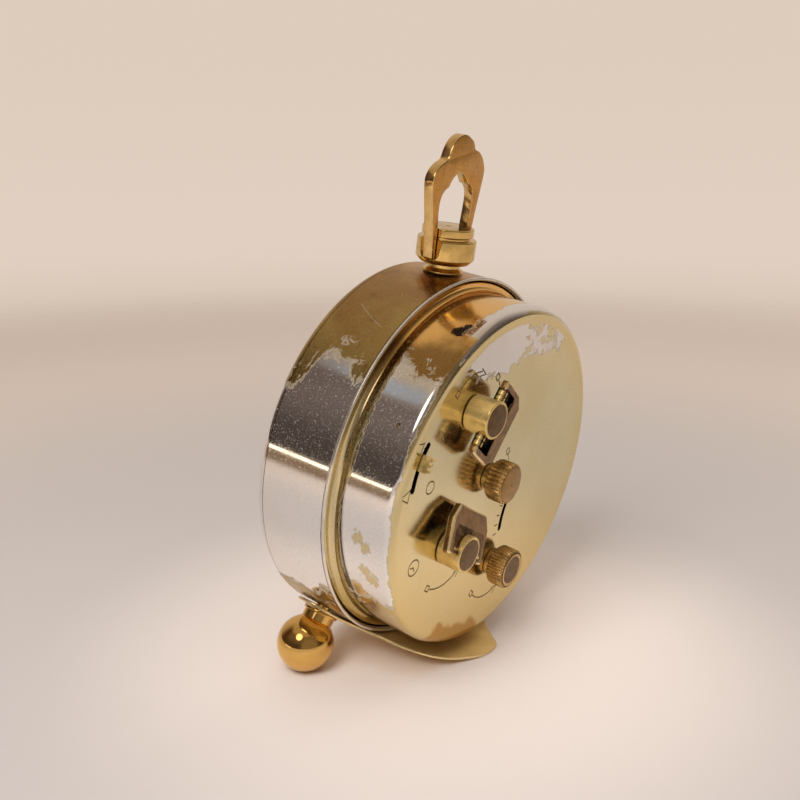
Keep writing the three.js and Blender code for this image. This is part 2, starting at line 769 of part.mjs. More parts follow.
function addKeys() {
  for (const [name, key] of Object.entries(KEYS)) {
    const group = arborGroup(key.at, deg(key.direction));
    addMesh(group, `${name}_key`, keyPost(), brass);
    addMesh(group, `${name}_key_pin`, keyPin(), steel);
    addMesh(group, `${name}_key_loop`, keyLoop(key.tilt), darkBrass);
    addMesh(group, `${name}_ratchet_wheel`, ratchetWheel(), steel);
    addMesh(group, `${name}_mainspring`, spiral(1.8, 7.8, 4, 0.3, MAINSPRINGS), blued);
  }
}

// Hands and motion work. The minute hand points to twelve and the hour hand to ten.
const MINUTE_HAND_AT = deg(90 - 54);
const HOUR_HAND_AT = deg(90 + 57);
const ALARM_HAND_AT = deg(90 - 150);

function handShape(length, width, tail, hubR, boreR) {
  const shape = new THREE.Shape();
  const bend = Math.asin(width / 2 / hubR);
  shape.moveTo(-tail, -width * 0.6);
  shape.lineTo(-hubR * Math.cos(bend), -width / 2);
  shape.absarc(0, 0, hubR, Math.PI + bend, 2 * Math.PI - bend, false);
  shape.lineTo(length * 0.7, -width * 0.75);
  shape.lineTo(length, 0);
  shape.lineTo(length * 0.7, width * 0.75);
  shape.absarc(0, 0, hubR, bend, Math.PI - bend, false);
  shape.lineTo(-tail, width * 0.6);
  shape.closePath();
  circleHole(shape, 0, 0, boreR);
  return shape;
}

function addMotionWork() {
  const centre = arborGroup(CENTRE, MINUTE_HAND_AT);
  const arbor = union(rod(0.5, 2.3, 9.5, 16), rod(CENTRE_ARBOR_R, 9.4, 18.2, 16));
  addMesh(centre, "centre_arbor", arbor, steel);
  const minuteHand = handShape(21, 1.3, 5, 1.5, HAND_BORE);
  addMesh(centre, "minute_hand", sheet(minuteHand, ...MINUTE_HAND, 8), blackPaint);
  const firstModule = moduleFor(CENTRE_TO_MINUTE, CANNON_TEETH, MINUTE_TEETH);
  const cannonPinion = gear(CANNON_TEETH, firstModule, CANNON_PINION, HAND_BORE);
  addMesh(centre, "cannon_pinion", cannonPinion, steel);
  const setDistance = distanceOf(CENTRE, TIME_KNOB);
  const setModule = moduleFor(setDistance, SET_TEETH, SET_TEETH);
  addMesh(centre, "hand_set_wheel", gear(SET_TEETH, setModule, SET_WHEELS, 0.9), brass);

  const minuteAt = directionOf(CENTRE, MINUTE_WHEEL);
  const minutePhase = meshedPhase(MINUTE_HAND_AT, CANNON_TEETH, minuteAt, MINUTE_TEETH);
  const minute = arborGroup(MINUTE_WHEEL, minutePhase);
  const secondModule = moduleFor(CENTRE_TO_MINUTE, MINUTE_PINION_TEETH, HOUR_TEETH);
  const minuteWheel = union(
    gear(MINUTE_TEETH, firstModule, MINUTE_WHEEL_AT, 0.5, 4),
    gear(MINUTE_PINION_TEETH, secondModule, MINUTE_PINION, 0.5),
  );
  addMesh(minute, "minute_wheel", minuteWheel, brass);

  const backAt = minuteAt + Math.PI;
  const hourPhase = meshedPhase(minutePhase, MINUTE_PINION_TEETH, backAt, HOUR_TEETH);
  const hour = arborGroup(CENTRE, hourPhase);
  const hourWheel = union(
    gear(HOUR_TEETH, secondModule, HOUR_WHEEL, HAND_BORE, 4),
    pipe(HAND_BORE, 1.2, HOUR_HAND[1] + 0.1, HOUR_WHEEL[0] + 0.2, 24),
  );
  addMesh(hour, "hour_wheel", hourWheel, brass);
  const hourHand = sheet(handShape(14, 1.6, 4, 2.0, HAND_BORE), ...HOUR_HAND, 8);
  addMesh(arborGroup(CENTRE, HOUR_HAND_AT), "hour_hand", hourHand, blackPaint);

  const alarmDistance = distanceOf(CENTRE, ALARM_KNOB);
  const alarmModule = moduleFor(alarmDistance, ALARM_TEETH, ALARM_PINION_TEETH);
  const alarm = arborGroup(CENTRE, 0);
  const alarmBore = 1.5;
  const alarmWheel = union(
    gear(ALARM_TEETH, alarmModule, ALARM_WHEEL, alarmBore, 5),
    pipe(alarmBore, 1.95, ALARM_HAND[1] + 0.1, ALARM_WHEEL[0] + 0.2, 24),
  );
  addMesh(alarm, "alarm_wheel", alarmWheel, brass);
  const alarmHand = sheet(handShape(9, 1.0, 3, 2.4, alarmBore + 0.1), ...ALARM_HAND, 8);
  addMesh(arborGroup(CENTRE, ALARM_HAND_AT), "alarm_hand", alarmHand, brass);

  const setAt = directionOf(CENTRE, TIME_KNOB);
  const setPhase = meshedPhase(MINUTE_HAND_AT, SET_TEETH, setAt, SET_TEETH);
  const timeKnob = arborGroup(TIME_KNOB, setPhase);
  addMesh(timeKnob, "time_knob", knob(20, 0.3, SET_WHEELS[0] - 0.2), darkBrass);
  addMesh(timeKnob, "time_knob_pinion", collarGear(SET_TEETH, setModule, SET_WHEELS), brass);

  const alarmAt = directionOf(CENTRE, ALARM_KNOB);
  const alarmPhase = meshedPhase(0, ALARM_TEETH, alarmAt, ALARM_PINION_TEETH);
  const alarmKnob = arborGroup(ALARM_KNOB, alarmPhase);
  addMesh(alarmKnob, "alarm_knob", knob(24, 0.2, ALARM_PINION[0]), darkBrass);
  const alarmPinion = collarGear(ALARM_PINION_TEETH, alarmModule, ALARM_PINION);
  addMesh(alarmKnob, "alarm_knob_pinion", alarmPinion, brass);
}

function addGoingTrain() {
  const mainModule = moduleFor(distanceOf(TIME_KEY, CENTRE), MAIN_TEETH, CENTRE_PINION_TEETH);
  const main = arborGroup(TIME_KEY, 0);
  const mainWheel = gear(MAIN_TEETH, mainModule, MAIN_WHEELS, ARBOR_R + GAP, 5);
  addMesh(main, "time_main_wheel", mainWheel, brass);

  const inward = directionOf(TIME_KEY, CENTRE);
  const centrePhase = meshedPhase(0, MAIN_TEETH, inward, CENTRE_PINION_TEETH);
  const centre = arborGroup(CENTRE, centrePhase);
  const centreModule = moduleFor(CENTRE_TO_THIRD, CENTRE_TEETH, THIRD_PINION_TEETH);
  const bore = CENTRE_ARBOR_R + GAP;
  const centreWheel = union(
    gear(CENTRE_TEETH, centreModule, CENTRE_WHEEL, bore, 5),
    gear(CENTRE_PINION_TEETH, mainModule, CENTRE_PINION, bore),
    pipe(bore, 1.6, CENTRE_PINION[1] - 0.1, CENTRE_WHEEL[0] + 0.1, 16),
  );
  addMesh(centre, "centre_wheel", centreWheel, brass);

  const toThird = directionOf(CENTRE, THIRD);
  const thirdPhase = meshedPhase(centrePhase, CENTRE_TEETH, toThird, THIRD_PINION_TEETH);
  const thirdModule = moduleFor(THIRD_TO_FOURTH, TRAIN_TEETH, TRAIN_PINION_TEETH);
  const third = arborGroup(THIRD, thirdPhase);
  const thirdWheel = union(
    pivotedArbor(TRAIN_ARBOR_R, ...TRAIN_SPAN),
    gear(THIRD_PINION_TEETH, centreModule, THIRD_PINION, TRAIN_BORE),
    gear(TRAIN_TEETH, thirdModule, THIRD_WHEEL, TRAIN_BORE, 4),
  );
  addMesh(third, "third_wheel", thirdWheel, brass);

  const toFourth = directionOf(THIRD, FOURTH);
  const fourthPhase = meshedPhase(thirdPhase, TRAIN_TEETH, toFourth, TRAIN_PINION_TEETH);
  const fourthModule = moduleFor(FOURTH_TO_ESCAPE, TRAIN_TEETH, TRAIN_PINION_TEETH);
  const fourth = arborGroup(FOURTH, fourthPhase);
  const fourthWheel = union(
    pivotedArbor(TRAIN_ARBOR_R, ...TRAIN_SPAN),
    gear(TRAIN_PINION_TEETH, thirdModule, FOURTH_PINION, TRAIN_BORE),
    gear(TRAIN_TEETH, fourthModule, FOURTH_WHEEL, TRAIN_BORE, 4),
  );
  addMesh(fourth, "fourth_wheel", fourthWheel, brass);

  const toEscape = directionOf(FOURTH, ESCAPE);
  const escapePhase = meshedPhase(fourthPhase, TRAIN_TEETH, toEscape, TRAIN_PINION_TEETH);
  const escape = arborGroup(ESCAPE, escapePhase);
  const escapeWheel = union(
    pivotedArbor(TRAIN_ARBOR_R, TRAIN_SPAN[0], ESCAPE_STAR[1] + 0.2),
    gear(TRAIN_PINION_TEETH, fourthModule, ESCAPE_PINION, TRAIN_BORE),
    star(15, 4.2, 3.1, ESCAPE_STAR, TRAIN_BORE),
  );
  addMesh(escape, "escape_wheel", escapeWheel, steel);
}

function addEscapement() {
  const forkAt = directionOf(PALLET, BALANCE);
  const pallet = arborGroup(PALLET, forkAt);
  const toPin = 4.75; // from the escape wheel's centre to each pallet pin
  const pinX = toPin * Math.cos(deg(40)) - ESCAPE_TO_PALLET;
  const pinZ = toPin * Math.sin(deg(40));
  const half = [[pinX - 0.3, pinZ + 0.3], [pinX + 0.4, pinZ + 0.3], [0.6, 0.35], [2.0, 0.35]];
  const upper = half.map(([x, z]) => new THREE.Vector2(x, z));
  const lower = half.map(([x, z]) => new THREE.Vector2(x, -z)).reverse();
  const body = new THREE.Shape([new THREE.Vector2(-0.5, 0), ...upper, ...lower]);
  const pinFront = REAR_PLATE[1] + GAP;
  const fork = union(
    sheet(body, ...PALLET_FORK),
    rod(0.35, pinFront, PALLET_FORK[1], 8),
    rod(PIVOT_R, pinFront - PIVOT_LENGTH, pinFront + 0.1, 8),
    ...[-1, 1].map((side) =>
      placed(rod(0.15, pinFront, PALLET_FORK[0] + 0.1, 8), [pinX, 0, side * pinZ]),
    ),
  );
  addMesh(pallet, "pallet_fork", fork, steel);

  const balance = arborGroup(BALANCE, 0);
  const rim = new THREE.Shape();
  rim.absarc(0, 0, 6.3, 0, 2 * Math.PI, false);
  circleHole(rim, 0, 0, 0.3);
  addWindows(rim, 2, 1.4, 5.4);
  const staff = pivotedArbor(0.45, REAR_PLATE[1] + GAP, COCK[0] - GAP);
  addMesh(balance, "balance_wheel", union(sheet(rim, ...BALANCE_RIM, 7), staff), brass);
  addMesh(balance, "hairspring", spiral(0.9, 3.6, 3, 0.12, HAIRSPRING), blued);

  const regulatorAt = REGULATOR_MID + 1.5 / REGULATOR_RADIUS;
  const regulator = arborGroup(BALANCE, regulatorAt);
  const arm = new THREE.Shape();
  arm.absarc(0, 0, 2, 0.3, 2 * Math.PI - 0.3, false);
  arm.lineTo(REGULATOR_RADIUS + 0.15, -0.45);
  arm.lineTo(REGULATOR_RADIUS + 0.15, 0.45);
  arm.closePath();
  circleHole(arm, 0, 0, 0.8);
  const tipLength = 2.4;
  const tipMiddle = REGULATOR_ARM[0] - 0.1 + tipLength / 2;
  const tip = placed(block(0.3, tipLength, 0.9), [REGULATOR_RADIUS, tipMiddle, 0]);
  addMesh(regulator, "regulator", union(sheet(arm, ...REGULATOR_ARM, 8), tip), steel);
}

function addAlarmTrain() {
  const distance = distanceOf(ALARM_KEY, STRIKE);
  const module = moduleFor(distance, STRIKE_MAIN_TEETH, STRIKE_PINION_TEETH);
  const main = arborGroup(ALARM_KEY, 0);
  const mainWheel = gear(STRIKE_MAIN_TEETH, module, MAIN_WHEELS, ARBOR_R + GAP, 4);
  addMesh(main, "alarm_main_wheel", mainWheel, brass);

  const toStrike = directionOf(ALARM_KEY, STRIKE);
  const phase = meshedPhase(0, STRIKE_MAIN_TEETH, toStrike, STRIKE_PINION_TEETH);
  const strike = arborGroup(STRIKE, phase);
  const strikeWheel = union(
    pivotedArbor(TRAIN_ARBOR_R, ...TRAIN_SPAN),
    gear(STRIKE_PINION_TEETH, module, STRIKE_PINION, TRAIN_BORE),
    star(12, 3.5, 2.5, STRIKE_STAR, TRAIN_BORE),
  );
  addMesh(strike, "strike_wheel", strikeWheel, steel);

  const hammerAt = deg(188);
  const hammer = arborGroup(HAMMER, hammerAt);
  const armLength = 9;
  const arm = placed(block(armLength, 0.6, 1), [armLength / 2, 12.8, 0]);
  const pallets = placed(block(1, 0.6, 5), [0, 14.4, 0]);
  const head = placed(rod(1.3, 11.6, 14.4), [armLength, 0, 0]);
  const body = union(pivotedArbor(TRAIN_ARBOR_R, ...TRAIN_SPAN), arm, pallets, head);
  addMesh(hammer, "hammer", body, steel);

  const leverAt = LEVER_MID + LEVER_TAB_OFFSET;
  const lever = arborGroup(LEVER_PIVOT, leverAt);
  addMesh(lever, "alarm_lever", alarmLever(), brass);
}

// Alarm on-off lever: an arm behind the movement whose bent tab stands out of the cover's slot
// and has a toothed outer edge.
function alarmLever() {
  const high = COVER_BACK + 1.9;
  const low = high - 0.5;
  const half = 1.2;
  const arm = new THREE.Shape();
  arm.absarc(0, 0, 1.6, 0.5, 2 * Math.PI - 0.5, false);
  arm.lineTo(LEVER_RADIUS + 0.2, -half);
  arm.lineTo(LEVER_RADIUS + 0.2, half);
  arm.closePath();
  const edge = [
    [-half, LEVER_ARM[0] + 0.1],
    [half, LEVER_ARM[0] + 0.1],
    [half, low],
    [half - 0.3, high],
    [half - 0.7, low],
    [0.1, high],
    [-0.3, low],
    [-half + 0.3, high],
    [-half, low],
  ];
  const tab = new THREE.Shape(edge.map(([x, y]) => new THREE.Vector2(x, y)));
  const bent = placed(standing(tab, 0.4), [LEVER_RADIUS, 0, 0]);
  const pivot = rod(TRAIN_ARBOR_R, REAR_PLATE[0] + 0.4, LEVER_ARM[1] - 0.2);
  return union(sheet(arm, ...LEVER_ARM, 8), bent, pivot);
}

addCase();
addFrame();
addKeys();
addMotionWork();
addGoingTrain();
addEscapement();
addAlarmTrain();

// The frame's origin is under the middle of the clock's bounding box.
const extent = new THREE.Box3().setFromObject(clock, true);
clock.position.y -= (extent.min.y + extent.max.y) / 2;

export default clock;
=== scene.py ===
import json
import math

import bmesh
import bpy
from mathutils import Matrix, Vector


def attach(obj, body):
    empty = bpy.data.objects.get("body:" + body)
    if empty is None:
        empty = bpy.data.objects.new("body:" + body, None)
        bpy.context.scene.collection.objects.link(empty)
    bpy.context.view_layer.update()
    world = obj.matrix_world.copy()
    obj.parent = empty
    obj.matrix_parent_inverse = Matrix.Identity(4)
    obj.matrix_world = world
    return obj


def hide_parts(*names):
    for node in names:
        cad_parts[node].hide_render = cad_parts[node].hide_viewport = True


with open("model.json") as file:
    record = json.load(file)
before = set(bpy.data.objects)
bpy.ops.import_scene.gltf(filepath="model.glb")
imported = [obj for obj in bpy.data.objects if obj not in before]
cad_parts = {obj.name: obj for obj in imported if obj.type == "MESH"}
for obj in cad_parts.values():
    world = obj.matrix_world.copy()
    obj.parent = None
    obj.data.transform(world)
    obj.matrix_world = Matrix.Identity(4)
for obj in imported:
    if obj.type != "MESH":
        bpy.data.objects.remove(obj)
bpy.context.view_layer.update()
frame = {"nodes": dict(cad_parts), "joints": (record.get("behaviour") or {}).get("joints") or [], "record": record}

MM = 0.001
JOINTS = {joint["name"]: joint for joint in frame["joints"]}


# ---------------------------------------------------------------- the clock's frame
def clock_matrix():
    """Where the clock stands: its axis comes from the hands' hinge."""
    hinge = JOINTS["minute_hand_turn"]
    across = Vector((1, 0, 0))
    along = Vector(hinge["axis"]).normalized()
    hub = Vector(hinge["pos_m"])
    front = min((v.co - hub).dot(along) for v in frame["nodes"]["bezel"].data.vertices)
    turn = Matrix((across, along, across.cross(along))).transposed()
    return Matrix.Translation(hub + along * front) @ turn.to_4x4()


CLOCK = clock_matrix()
TO_CLOCK = CLOCK.inverted()


def in_clock(point):
    return (TO_CLOCK @ Vector(point)) / MM


def span(node, beyond=-1e9):
    """Lowest and highest corners of a node, of its part further back than beyond."""
    points = [in_clock(v.co) for v in frame["nodes"][node].data.vertices]
    points = [p for p in points if p.y > beyond]
    low = Vector([min(p[i] for p in points) for i in range(3)])
    high = Vector([max(p[i] for p in points) for i in range(3)])
    return low, high


def hinge_at(name):
    """Where a hinge's axis lies, as (x, z)."""
    place = in_clock(JOINTS[name]["pos_m"])
    return place.x, place.z


def heading_vector(azimuth, elevation):
    """Direction in degrees, in the world: azimuth 0 is in front of the clock, 90 at its right."""
    turn, rise = math.radians(azimuth), math.radians(elevation)
    level = math.cos(rise)
    return Vector((math.sin(turn) * level, -math.cos(turn) * level, math.sin(rise)))


def direction(radians):
    return Vector((math.cos(radians), 0, math.sin(radians)))


def arbor(at, heading=0.0):
    """Frame with its Y along the arbor at (x, z) and its X turned to the heading."""
    return Matrix.Translation((at[0], 0, at[1])) @ Matrix.Rotation(-heading, 4, "Y")


def radial(angle, y):
    """Frame whose Y leaves the clock's axis square to it, at an angle from twelve o'clock."""
    out = Vector((math.sin(angle), 0, math.cos(angle)))
    side = Vector((math.cos(angle), 0, -math.sin(angle)))
    turn = Matrix((side, out, side.cross(out))).transposed()
    return Matrix.Translation((0, y, 0)) @ turn.to_4x4()


def link(name, data):
    """Puts an object with this data in the scene."""
    thing = bpy.data.objects.new(name, data)
    bpy.context.scene.collection.objects.link(thing)
    return thing


CASE_R = span("front_case")[1].x
CASE_FRONT = span("front_case")[0].y
CASE_BACK = span("front_case")[1].y
COVER_BACK = span("rear_cover")[1].y
COVER_FLANGE = span("rear_cover")[0].y
COVER_R = 27.2
COVER_ROUND = 1.6
COVER_WALL = 0.6
COVER_FLANGE_R = 28.5
SEAM_Y = CASE_BACK - 0.45
PLATE_EDGE = COVER_R - COVER_ROUND
BEZEL_R = span("bezel")[1].x
STEM_Y = in_clock(JOINTS["handle_swing"]["pos_m"]).y
PIVOT_Z = in_clock(JOINTS["handle_swing"]["pos_m"]).z
CAP_HIGH = span("handle_stem")[1].z
KEY_BACK = span("time_key")[1].y
KNOB_FRONT = 24.5
PIN_Y = in_clock(JOINTS["time_key_loop_fold"]["pos_m"]).y
STRAP_OUT = -span("stand_bracket")[0].z
STRAP_IN = STRAP_OUT - 0.4
SHAFT_R = 1.1
SCREW_R = 1.2
SCREW_END = 27  # distance of a screw's inner end from the clock's axis
BALL_R = 4.49
BALL_RHO = 35.55  # distance of a ball's centre from the clock's axis
BALL_ANGLE = math.radians(35.93)  # from six o'clock
BALL_Y = 5.2

# ---------------------------------------------------------------- camera
CAMERA_HEADING = (127.14, 14.62)  # azimuth and elevation in degrees
CAMERA_OFFSET = (3.12, 5.51, 166.71)  # right, up and back from the clock's origin
CAMERA_LENS = 45
NEAR_LIMIT = 0.005


def add_camera():
    back = heading_vector(*CAMERA_HEADING)
    right = Vector((0, 0, 1)).cross(back).normalized()
    up = back.cross(right)
    turn = Matrix((right, up, back)).transposed()
    offset = turn @ Vector(CAMERA_OFFSET) * MM
    camera = link("camera", bpy.data.cameras.new("camera"))
    camera.data.lens = CAMERA_LENS
    camera.data.clip_start = NEAR_LIMIT
    camera.matrix_world = Matrix.Translation(CLOCK.translation + offset) @ turn.to_4x4()
    bpy.context.scene.camera = camera


add_camera()


# ---------------------------------------------------------------- procedural materials
class NodeTree:
    """A node tree under construction. Its methods add a node and return its output."""

    def __init__(self, tree):
        self.nodes = tree.nodes
        self.links = tree.links

    def new(self, kind, **settings):
        node = self.nodes.new(kind)
        for key, value in settings.items():
            setattr(node, key, value)
        return node

    def feed(self, socket, value):
        if isinstance(value, bpy.types.NodeSocket):
            self.links.new(value, socket)
        else:
            socket.default_value = value

    def scaled(self, vector, factor):
        size = factor if isinstance(factor, tuple) else (factor,) * 3
        node = self.new("ShaderNodeMapping")
        self.feed(node.inputs["Vector"], vector)
        node.inputs["Scale"].default_value = size
        return node.outputs["Vector"]

    def vector_value(self, operation, vector, other):
        node = self.new("ShaderNodeVectorMath", operation=operation)
        self.feed(node.inputs[0], vector)
        node.inputs[1].default_value = other
        return node.outputs["Value"]

    def split(self, vector):
        node = self.new("ShaderNodeSeparateXYZ")
        self.feed(node.inputs[0], vector)
        return node.outputs[0], node.outputs[1], node.outputs[2]

    def join(self, x, y, z):
        node = self.new("ShaderNodeCombineXYZ")
        for socket, value in zip(node.inputs, (x, y, z)):
            self.feed(socket, value)
        return node.outputs[0]

    def math(self, operation, *values):
        node = self.new("ShaderNodeMath", operation=operation)
        for socket, value in zip(node.inputs, values):
            self.feed(socket, value)
        return node.outputs[0]

    def fold(self, operation, values):
        """One value from several, taken two at a time."""
        total = values[0]
        for value in values[1:]:
            total = self.math(operation, total, value)
        return total

    def add(self, *values):
        return self.fold("ADD", values)

    def least(self, *values):
        return self.fold("MINIMUM", values)

    def most(self, *values):
        return self.fold("MAXIMUM", values)

    def times(self, a, b):
        return self.math("MULTIPLY", a, b)

    def length(self, a, b):
        return self.math("SQRT", self.add(self.times(a, a), self.times(b, b)))

    def step(self, value, low, high, out_low=0.0, out_high=1.0):
        """Smooth change from out_low to out_high as value goes from low to high."""
        node = self.new("ShaderNodeMapRange", interpolation_type="SMOOTHSTEP")
        for socket, given in zip(node.inputs, (value, low, high, out_low, out_high)):
            self.feed(socket, given)
        return node.outputs[0]

    def band(self, value, centre, half_width):
        """One where value is within half_width of centre."""
        gap = self.math("ABSOLUTE", self.math("SUBTRACT", value, centre))
        return self.step(gap, half_width, half_width * 0.5)

    def mix(self, factor, first, second):
        node = self.new("ShaderNodeMix", data_type="RGBA")
        self.feed(node.inputs[0], factor)
        self.feed(node.inputs[6], first)
        self.feed(node.inputs[7], second)
        return node.outputs[2]


class Surface(NodeTree):
    """A material under construction: one Principled shader and the nodes that drive it."""

    def __init__(self, name, metallic=1.0):
        self.material = bpy.data.materials.new(name)
        self.material.use_nodes = True
        super().__init__(self.material.node_tree)
        self.shader = self.nodes["Principled BSDF"]
        self.shader.inputs["Metallic"].default_value = metallic
        self.place = self.scaled(self.new("ShaderNodeTexCoord").outputs["Object"], 1 / MM)
        self.x, self.y, self.z = self.split(self.place)
        self.folded = self.join(self.math("ABSOLUTE", self.x), self.y, self.z)

    def noise(self, scale, detail=4.0, roughness=0.5, distortion=0.0, stretch=None, shift=0.0):
        node = self.new("ShaderNodeTexNoise")
        vector = self.scaled(self.place, stretch) if stretch else self.place
        if shift:
            moved = self.new("ShaderNodeVectorMath", operation="ADD")
            self.feed(moved.inputs[0], vector)
            moved.inputs[1].default_value = (shift, 2 * shift, 3 * shift)
            vector = moved.outputs[0]
        self.feed(node.inputs["Vector"], vector)
        node.inputs["Scale"].default_value = scale
        node.inputs["Detail"].default_value = detail
        node.inputs["Roughness"].default_value = roughness
        node.inputs["Distortion"].default_value = distortion
        return node.outputs[0]

    def ripple(self, amount, scale, **settings):
        """Noise about zero, from about -amount to +amount."""
        centred = self.math("SUBTRACT", self.noise(scale, **settings), 0.5)
        return self.times(centred, 2 * amount)

    def specks(self, per_mm, size, share):
        """Small round specks: per_mm cells, of which a share holds a speck."""
        node = self.new("ShaderNodeTexVoronoi")
        self.feed(node.inputs["Vector"], self.place)
        node.inputs["Scale"].default_value = per_mm
        spot = self.step(node.outputs["Distance"], size, size * 0.6)
        chosen = self.new("ShaderNodeSeparateColor")
        self.feed(chosen.inputs[0], node.outputs["Color"])
        return self.times(spot, self.step(chosen.outputs[0], 1 - share, 1 - share + 0.02))

    def patch(self, scale, centre, reach):
        """Positive within reach of a centre, both in the scaled place."""
        gap = self.vector_value("DISTANCE", self.scaled(self.place, scale), centre)
        return self.add(reach, self.times(gap, -1))

    def colour(self, value):
        self.feed(self.shader.inputs["Base Color"], value)

    def rough(self, value):
        self.feed(self.shader.inputs["Roughness"], value)

    def bump(self, height, depth):
        """Relief: height from 0 to 1 stands for depth millimetres."""
        node = self.new("ShaderNodeBump")
        node.inputs["Strength"].default_value = 1.0
        node.inputs["Distance"].default_value = depth * MM
        self.feed(node.inputs["Height"], height)
        self.feed(self.shader.inputs["Normal"], node.outputs[0])


SILVER = (0.87, 0.85, 0.83, 1)
GREY_SILVER = (0.82, 0.79, 0.75, 1)
BRIGHT_BRASS = (0.90, 0.66, 0.25, 1)
BROWN_BRASS = (0.36, 0.21, 0.07, 1)
OLIVE_BRASS = (0.44, 0.31, 0.11, 1)
RED_BRASS = (0.56, 0.31, 0.09, 1)
PALE_BRASS = (0.82, 0.73, 0.46, 1)
ETCHED = (0.72, 0.66, 0.55, 1)
DARK_SPOT = (0.05, 0.035, 0.025, 1)
STAIN_BROWN = (0.28, 0.14, 0.04, 1)
BLOOM_FILM = 0.30


def scratches(surface, heading, spacing, amount):
    """Fine long scratches along a heading about X, as a mask."""
    turned = surface.new("ShaderNodeMapping")
    surface.feed(turned.inputs["Vector"], surface.place)
    turned.inputs["Rotation"].default_value = (heading, heading * 0.7, heading * 1.3)
    turned.inputs["Scale"].default_value = (0.05 * spacing, spacing, spacing)
    node = surface.new("ShaderNodeTexNoise")
    surface.feed(node.inputs["Vector"], turned.outputs[0])
    node.inputs["Scale"].default_value = 1.0
    node.inputs["Detail"].default_value = 1.0
    return surface.band(node.outputs[0], 0.5, amount)


def worn_plating(name, field, worn_colour, worn_roughness, contour_shift, extra=None):
    """Silver plating over brass. field(surface) gives a number that is positive where the
    plating is left; the ragged edge follows its zero line, with thin etched outlines.
    extra(surface) marks light scratches of its own."""
    s = Surface(name)
    base_field = field(s)
    off_plate = s.step(s.y, COVER_BACK - 0.4, COVER_BACK - 1.2)
    edge = s.add(base_field, s.ripple(0.16, 0.28, detail=8, roughness=0.72, distortion=0.6))
    plated = s.step(edge, -0.008, 0.008)
    outline = s.band(edge, -0.010, 0.020)
    curl = s.add(base_field, contour_shift, s.ripple(0.17, 0.42, detail=2, distortion=1.6, shift=7))
    curls = s.times(s.band(curl, 0.0, 0.020), off_plate)
    curls = s.times(curls, s.step(s.noise(0.35, shift=19.0), 0.48, 0.60))
    pits = s.most(s.specks(1.6, 0.12, 0.12), s.specks(3.2, 0.16, 0.10))
    bloom = s.step(s.noise(3.4, detail=5, roughness=0.75, shift=13.0), 0.54, 0.68)
    bloom = s.times(bloom, off_plate)
    grit = s.noise(9.0, detail=2, roughness=0.6)
    fine = s.times(scratches(s, 0.6, 2.2, 0.004), 0.5)
    fine = s.most(fine, s.times(scratches(s, 2.1, 1.4, 0.003), 0.4))
    fine = s.most(fine, extra(s)) if extra else fine
    cloud = s.noise(0.09, detail=5, roughness=0.6, shift=3.0)

    silver = s.mix(s.step(cloud, 0.35, 0.75), SILVER, GREY_SILVER)
    silver = s.mix(s.times(pits, 0.65), silver, DARK_SPOT)
    silver = s.mix(s.times(bloom, 0.3), silver, ETCHED)
    worn = worn_colour(s)
    flecks = s.most(s.specks(1.1, 0.16, 0.06), s.specks(2.4, 0.17, 0.07))
    worn = s.mix(s.times(flecks, 0.7), worn, ETCHED)
    metal = s.mix(plated, worn, silver)
    metal = s.mix(s.times(s.most(outline, curls), 0.8), metal, ETCHED)
    s.colour(s.mix(s.times(fine, 0.35), metal, ETCHED))

    dull = s.most(s.times(s.most(outline, curls), 0.5), s.times(fine, 0.25))
    base = s.add(s.times(plated, 0.045 - worn_roughness), worn_roughness)
    haze = s.times(s.step(grit, 0.45, 0.8), 0.05)
    smudge = s.times(s.step(cloud, 0.4, 0.7), 0.05)
    s.rough(s.add(base, haze, smudge, dull, s.times(s.times(bloom, plated), 0.2)))
    film = s.most(s.times(bloom, BLOOM_FILM), s.times(s.most(outline, curls), 0.12))
    s.feed(s.shader.inputs["Metallic"], s.add(1.0, s.times(film, -1.0)))

    relief = s.add(
        s.times(plated, 0.35),
        s.times(s.noise(0.12, detail=1, shift=11.0), 0.35),
        s.times(grit, 0.010),
        s.times(fine, -0.02),
    )
    s.bump(relief, 0.03)
    return s.material


def side_angle(s):
    """Height angle round the drum, in radians: 0 at three and nine o'clock, up is positive."""
    return s.math("ARCTAN2", s.z, s.math("ABSOLUTE", s.x))


def blots(s, places, ragged=0.8):
    """Ragged round spots on the rear cover's side, as a mask: places holds (degrees, y, size)."""
    wobble = s.ripple(2.8, 1.3, detail=7, roughness=0.78, shift=17.0)
    spots = []
    for degrees, y, size in places:
        angle = math.radians(degrees)
        centre = (COVER_R * math.cos(angle), y, COVER_R * math.sin(angle))
        gap = s.vector_value("DISTANCE", s.folded, centre)
        spots.append(s.step(s.add(gap, s.times(wobble, size * ragged)), size, size * 0.92))
    return s.most(*spots)


def case_field(s):
    angle = side_angle(s)
    top = s.add(0.71, s.times(angle, -1), s.step(s.y, 5.0, 2.5, 0, -0.2),
                s.step(s.y, 9.5, 12.0, 0, -0.1))
    bottom = s.add(angle, 0.60, s.step(s.y, 9.0, 11.5, 0, -0.10))
    return s.least(top, bottom)


def case_worn(s):
    cloud = s.noise(0.10, detail=5, roughness=0.62)
    height = s.add(side_angle(s), s.times(s.add(cloud, -0.5), 1.2))
    colour = s.mix(s.step(height, 0.80, 1.15), OLIVE_BRASS, BROWN_BRASS)
    colour = s.mix(s.step(height, 1.30, 1.62), colour, RED_BRASS)
    brown_patch = s.noise(0.22, detail=6, roughness=0.7, shift=5.0)
    return s.mix(s.step(brown_patch, 0.58, 0.72), colour, STAIN_BROWN)


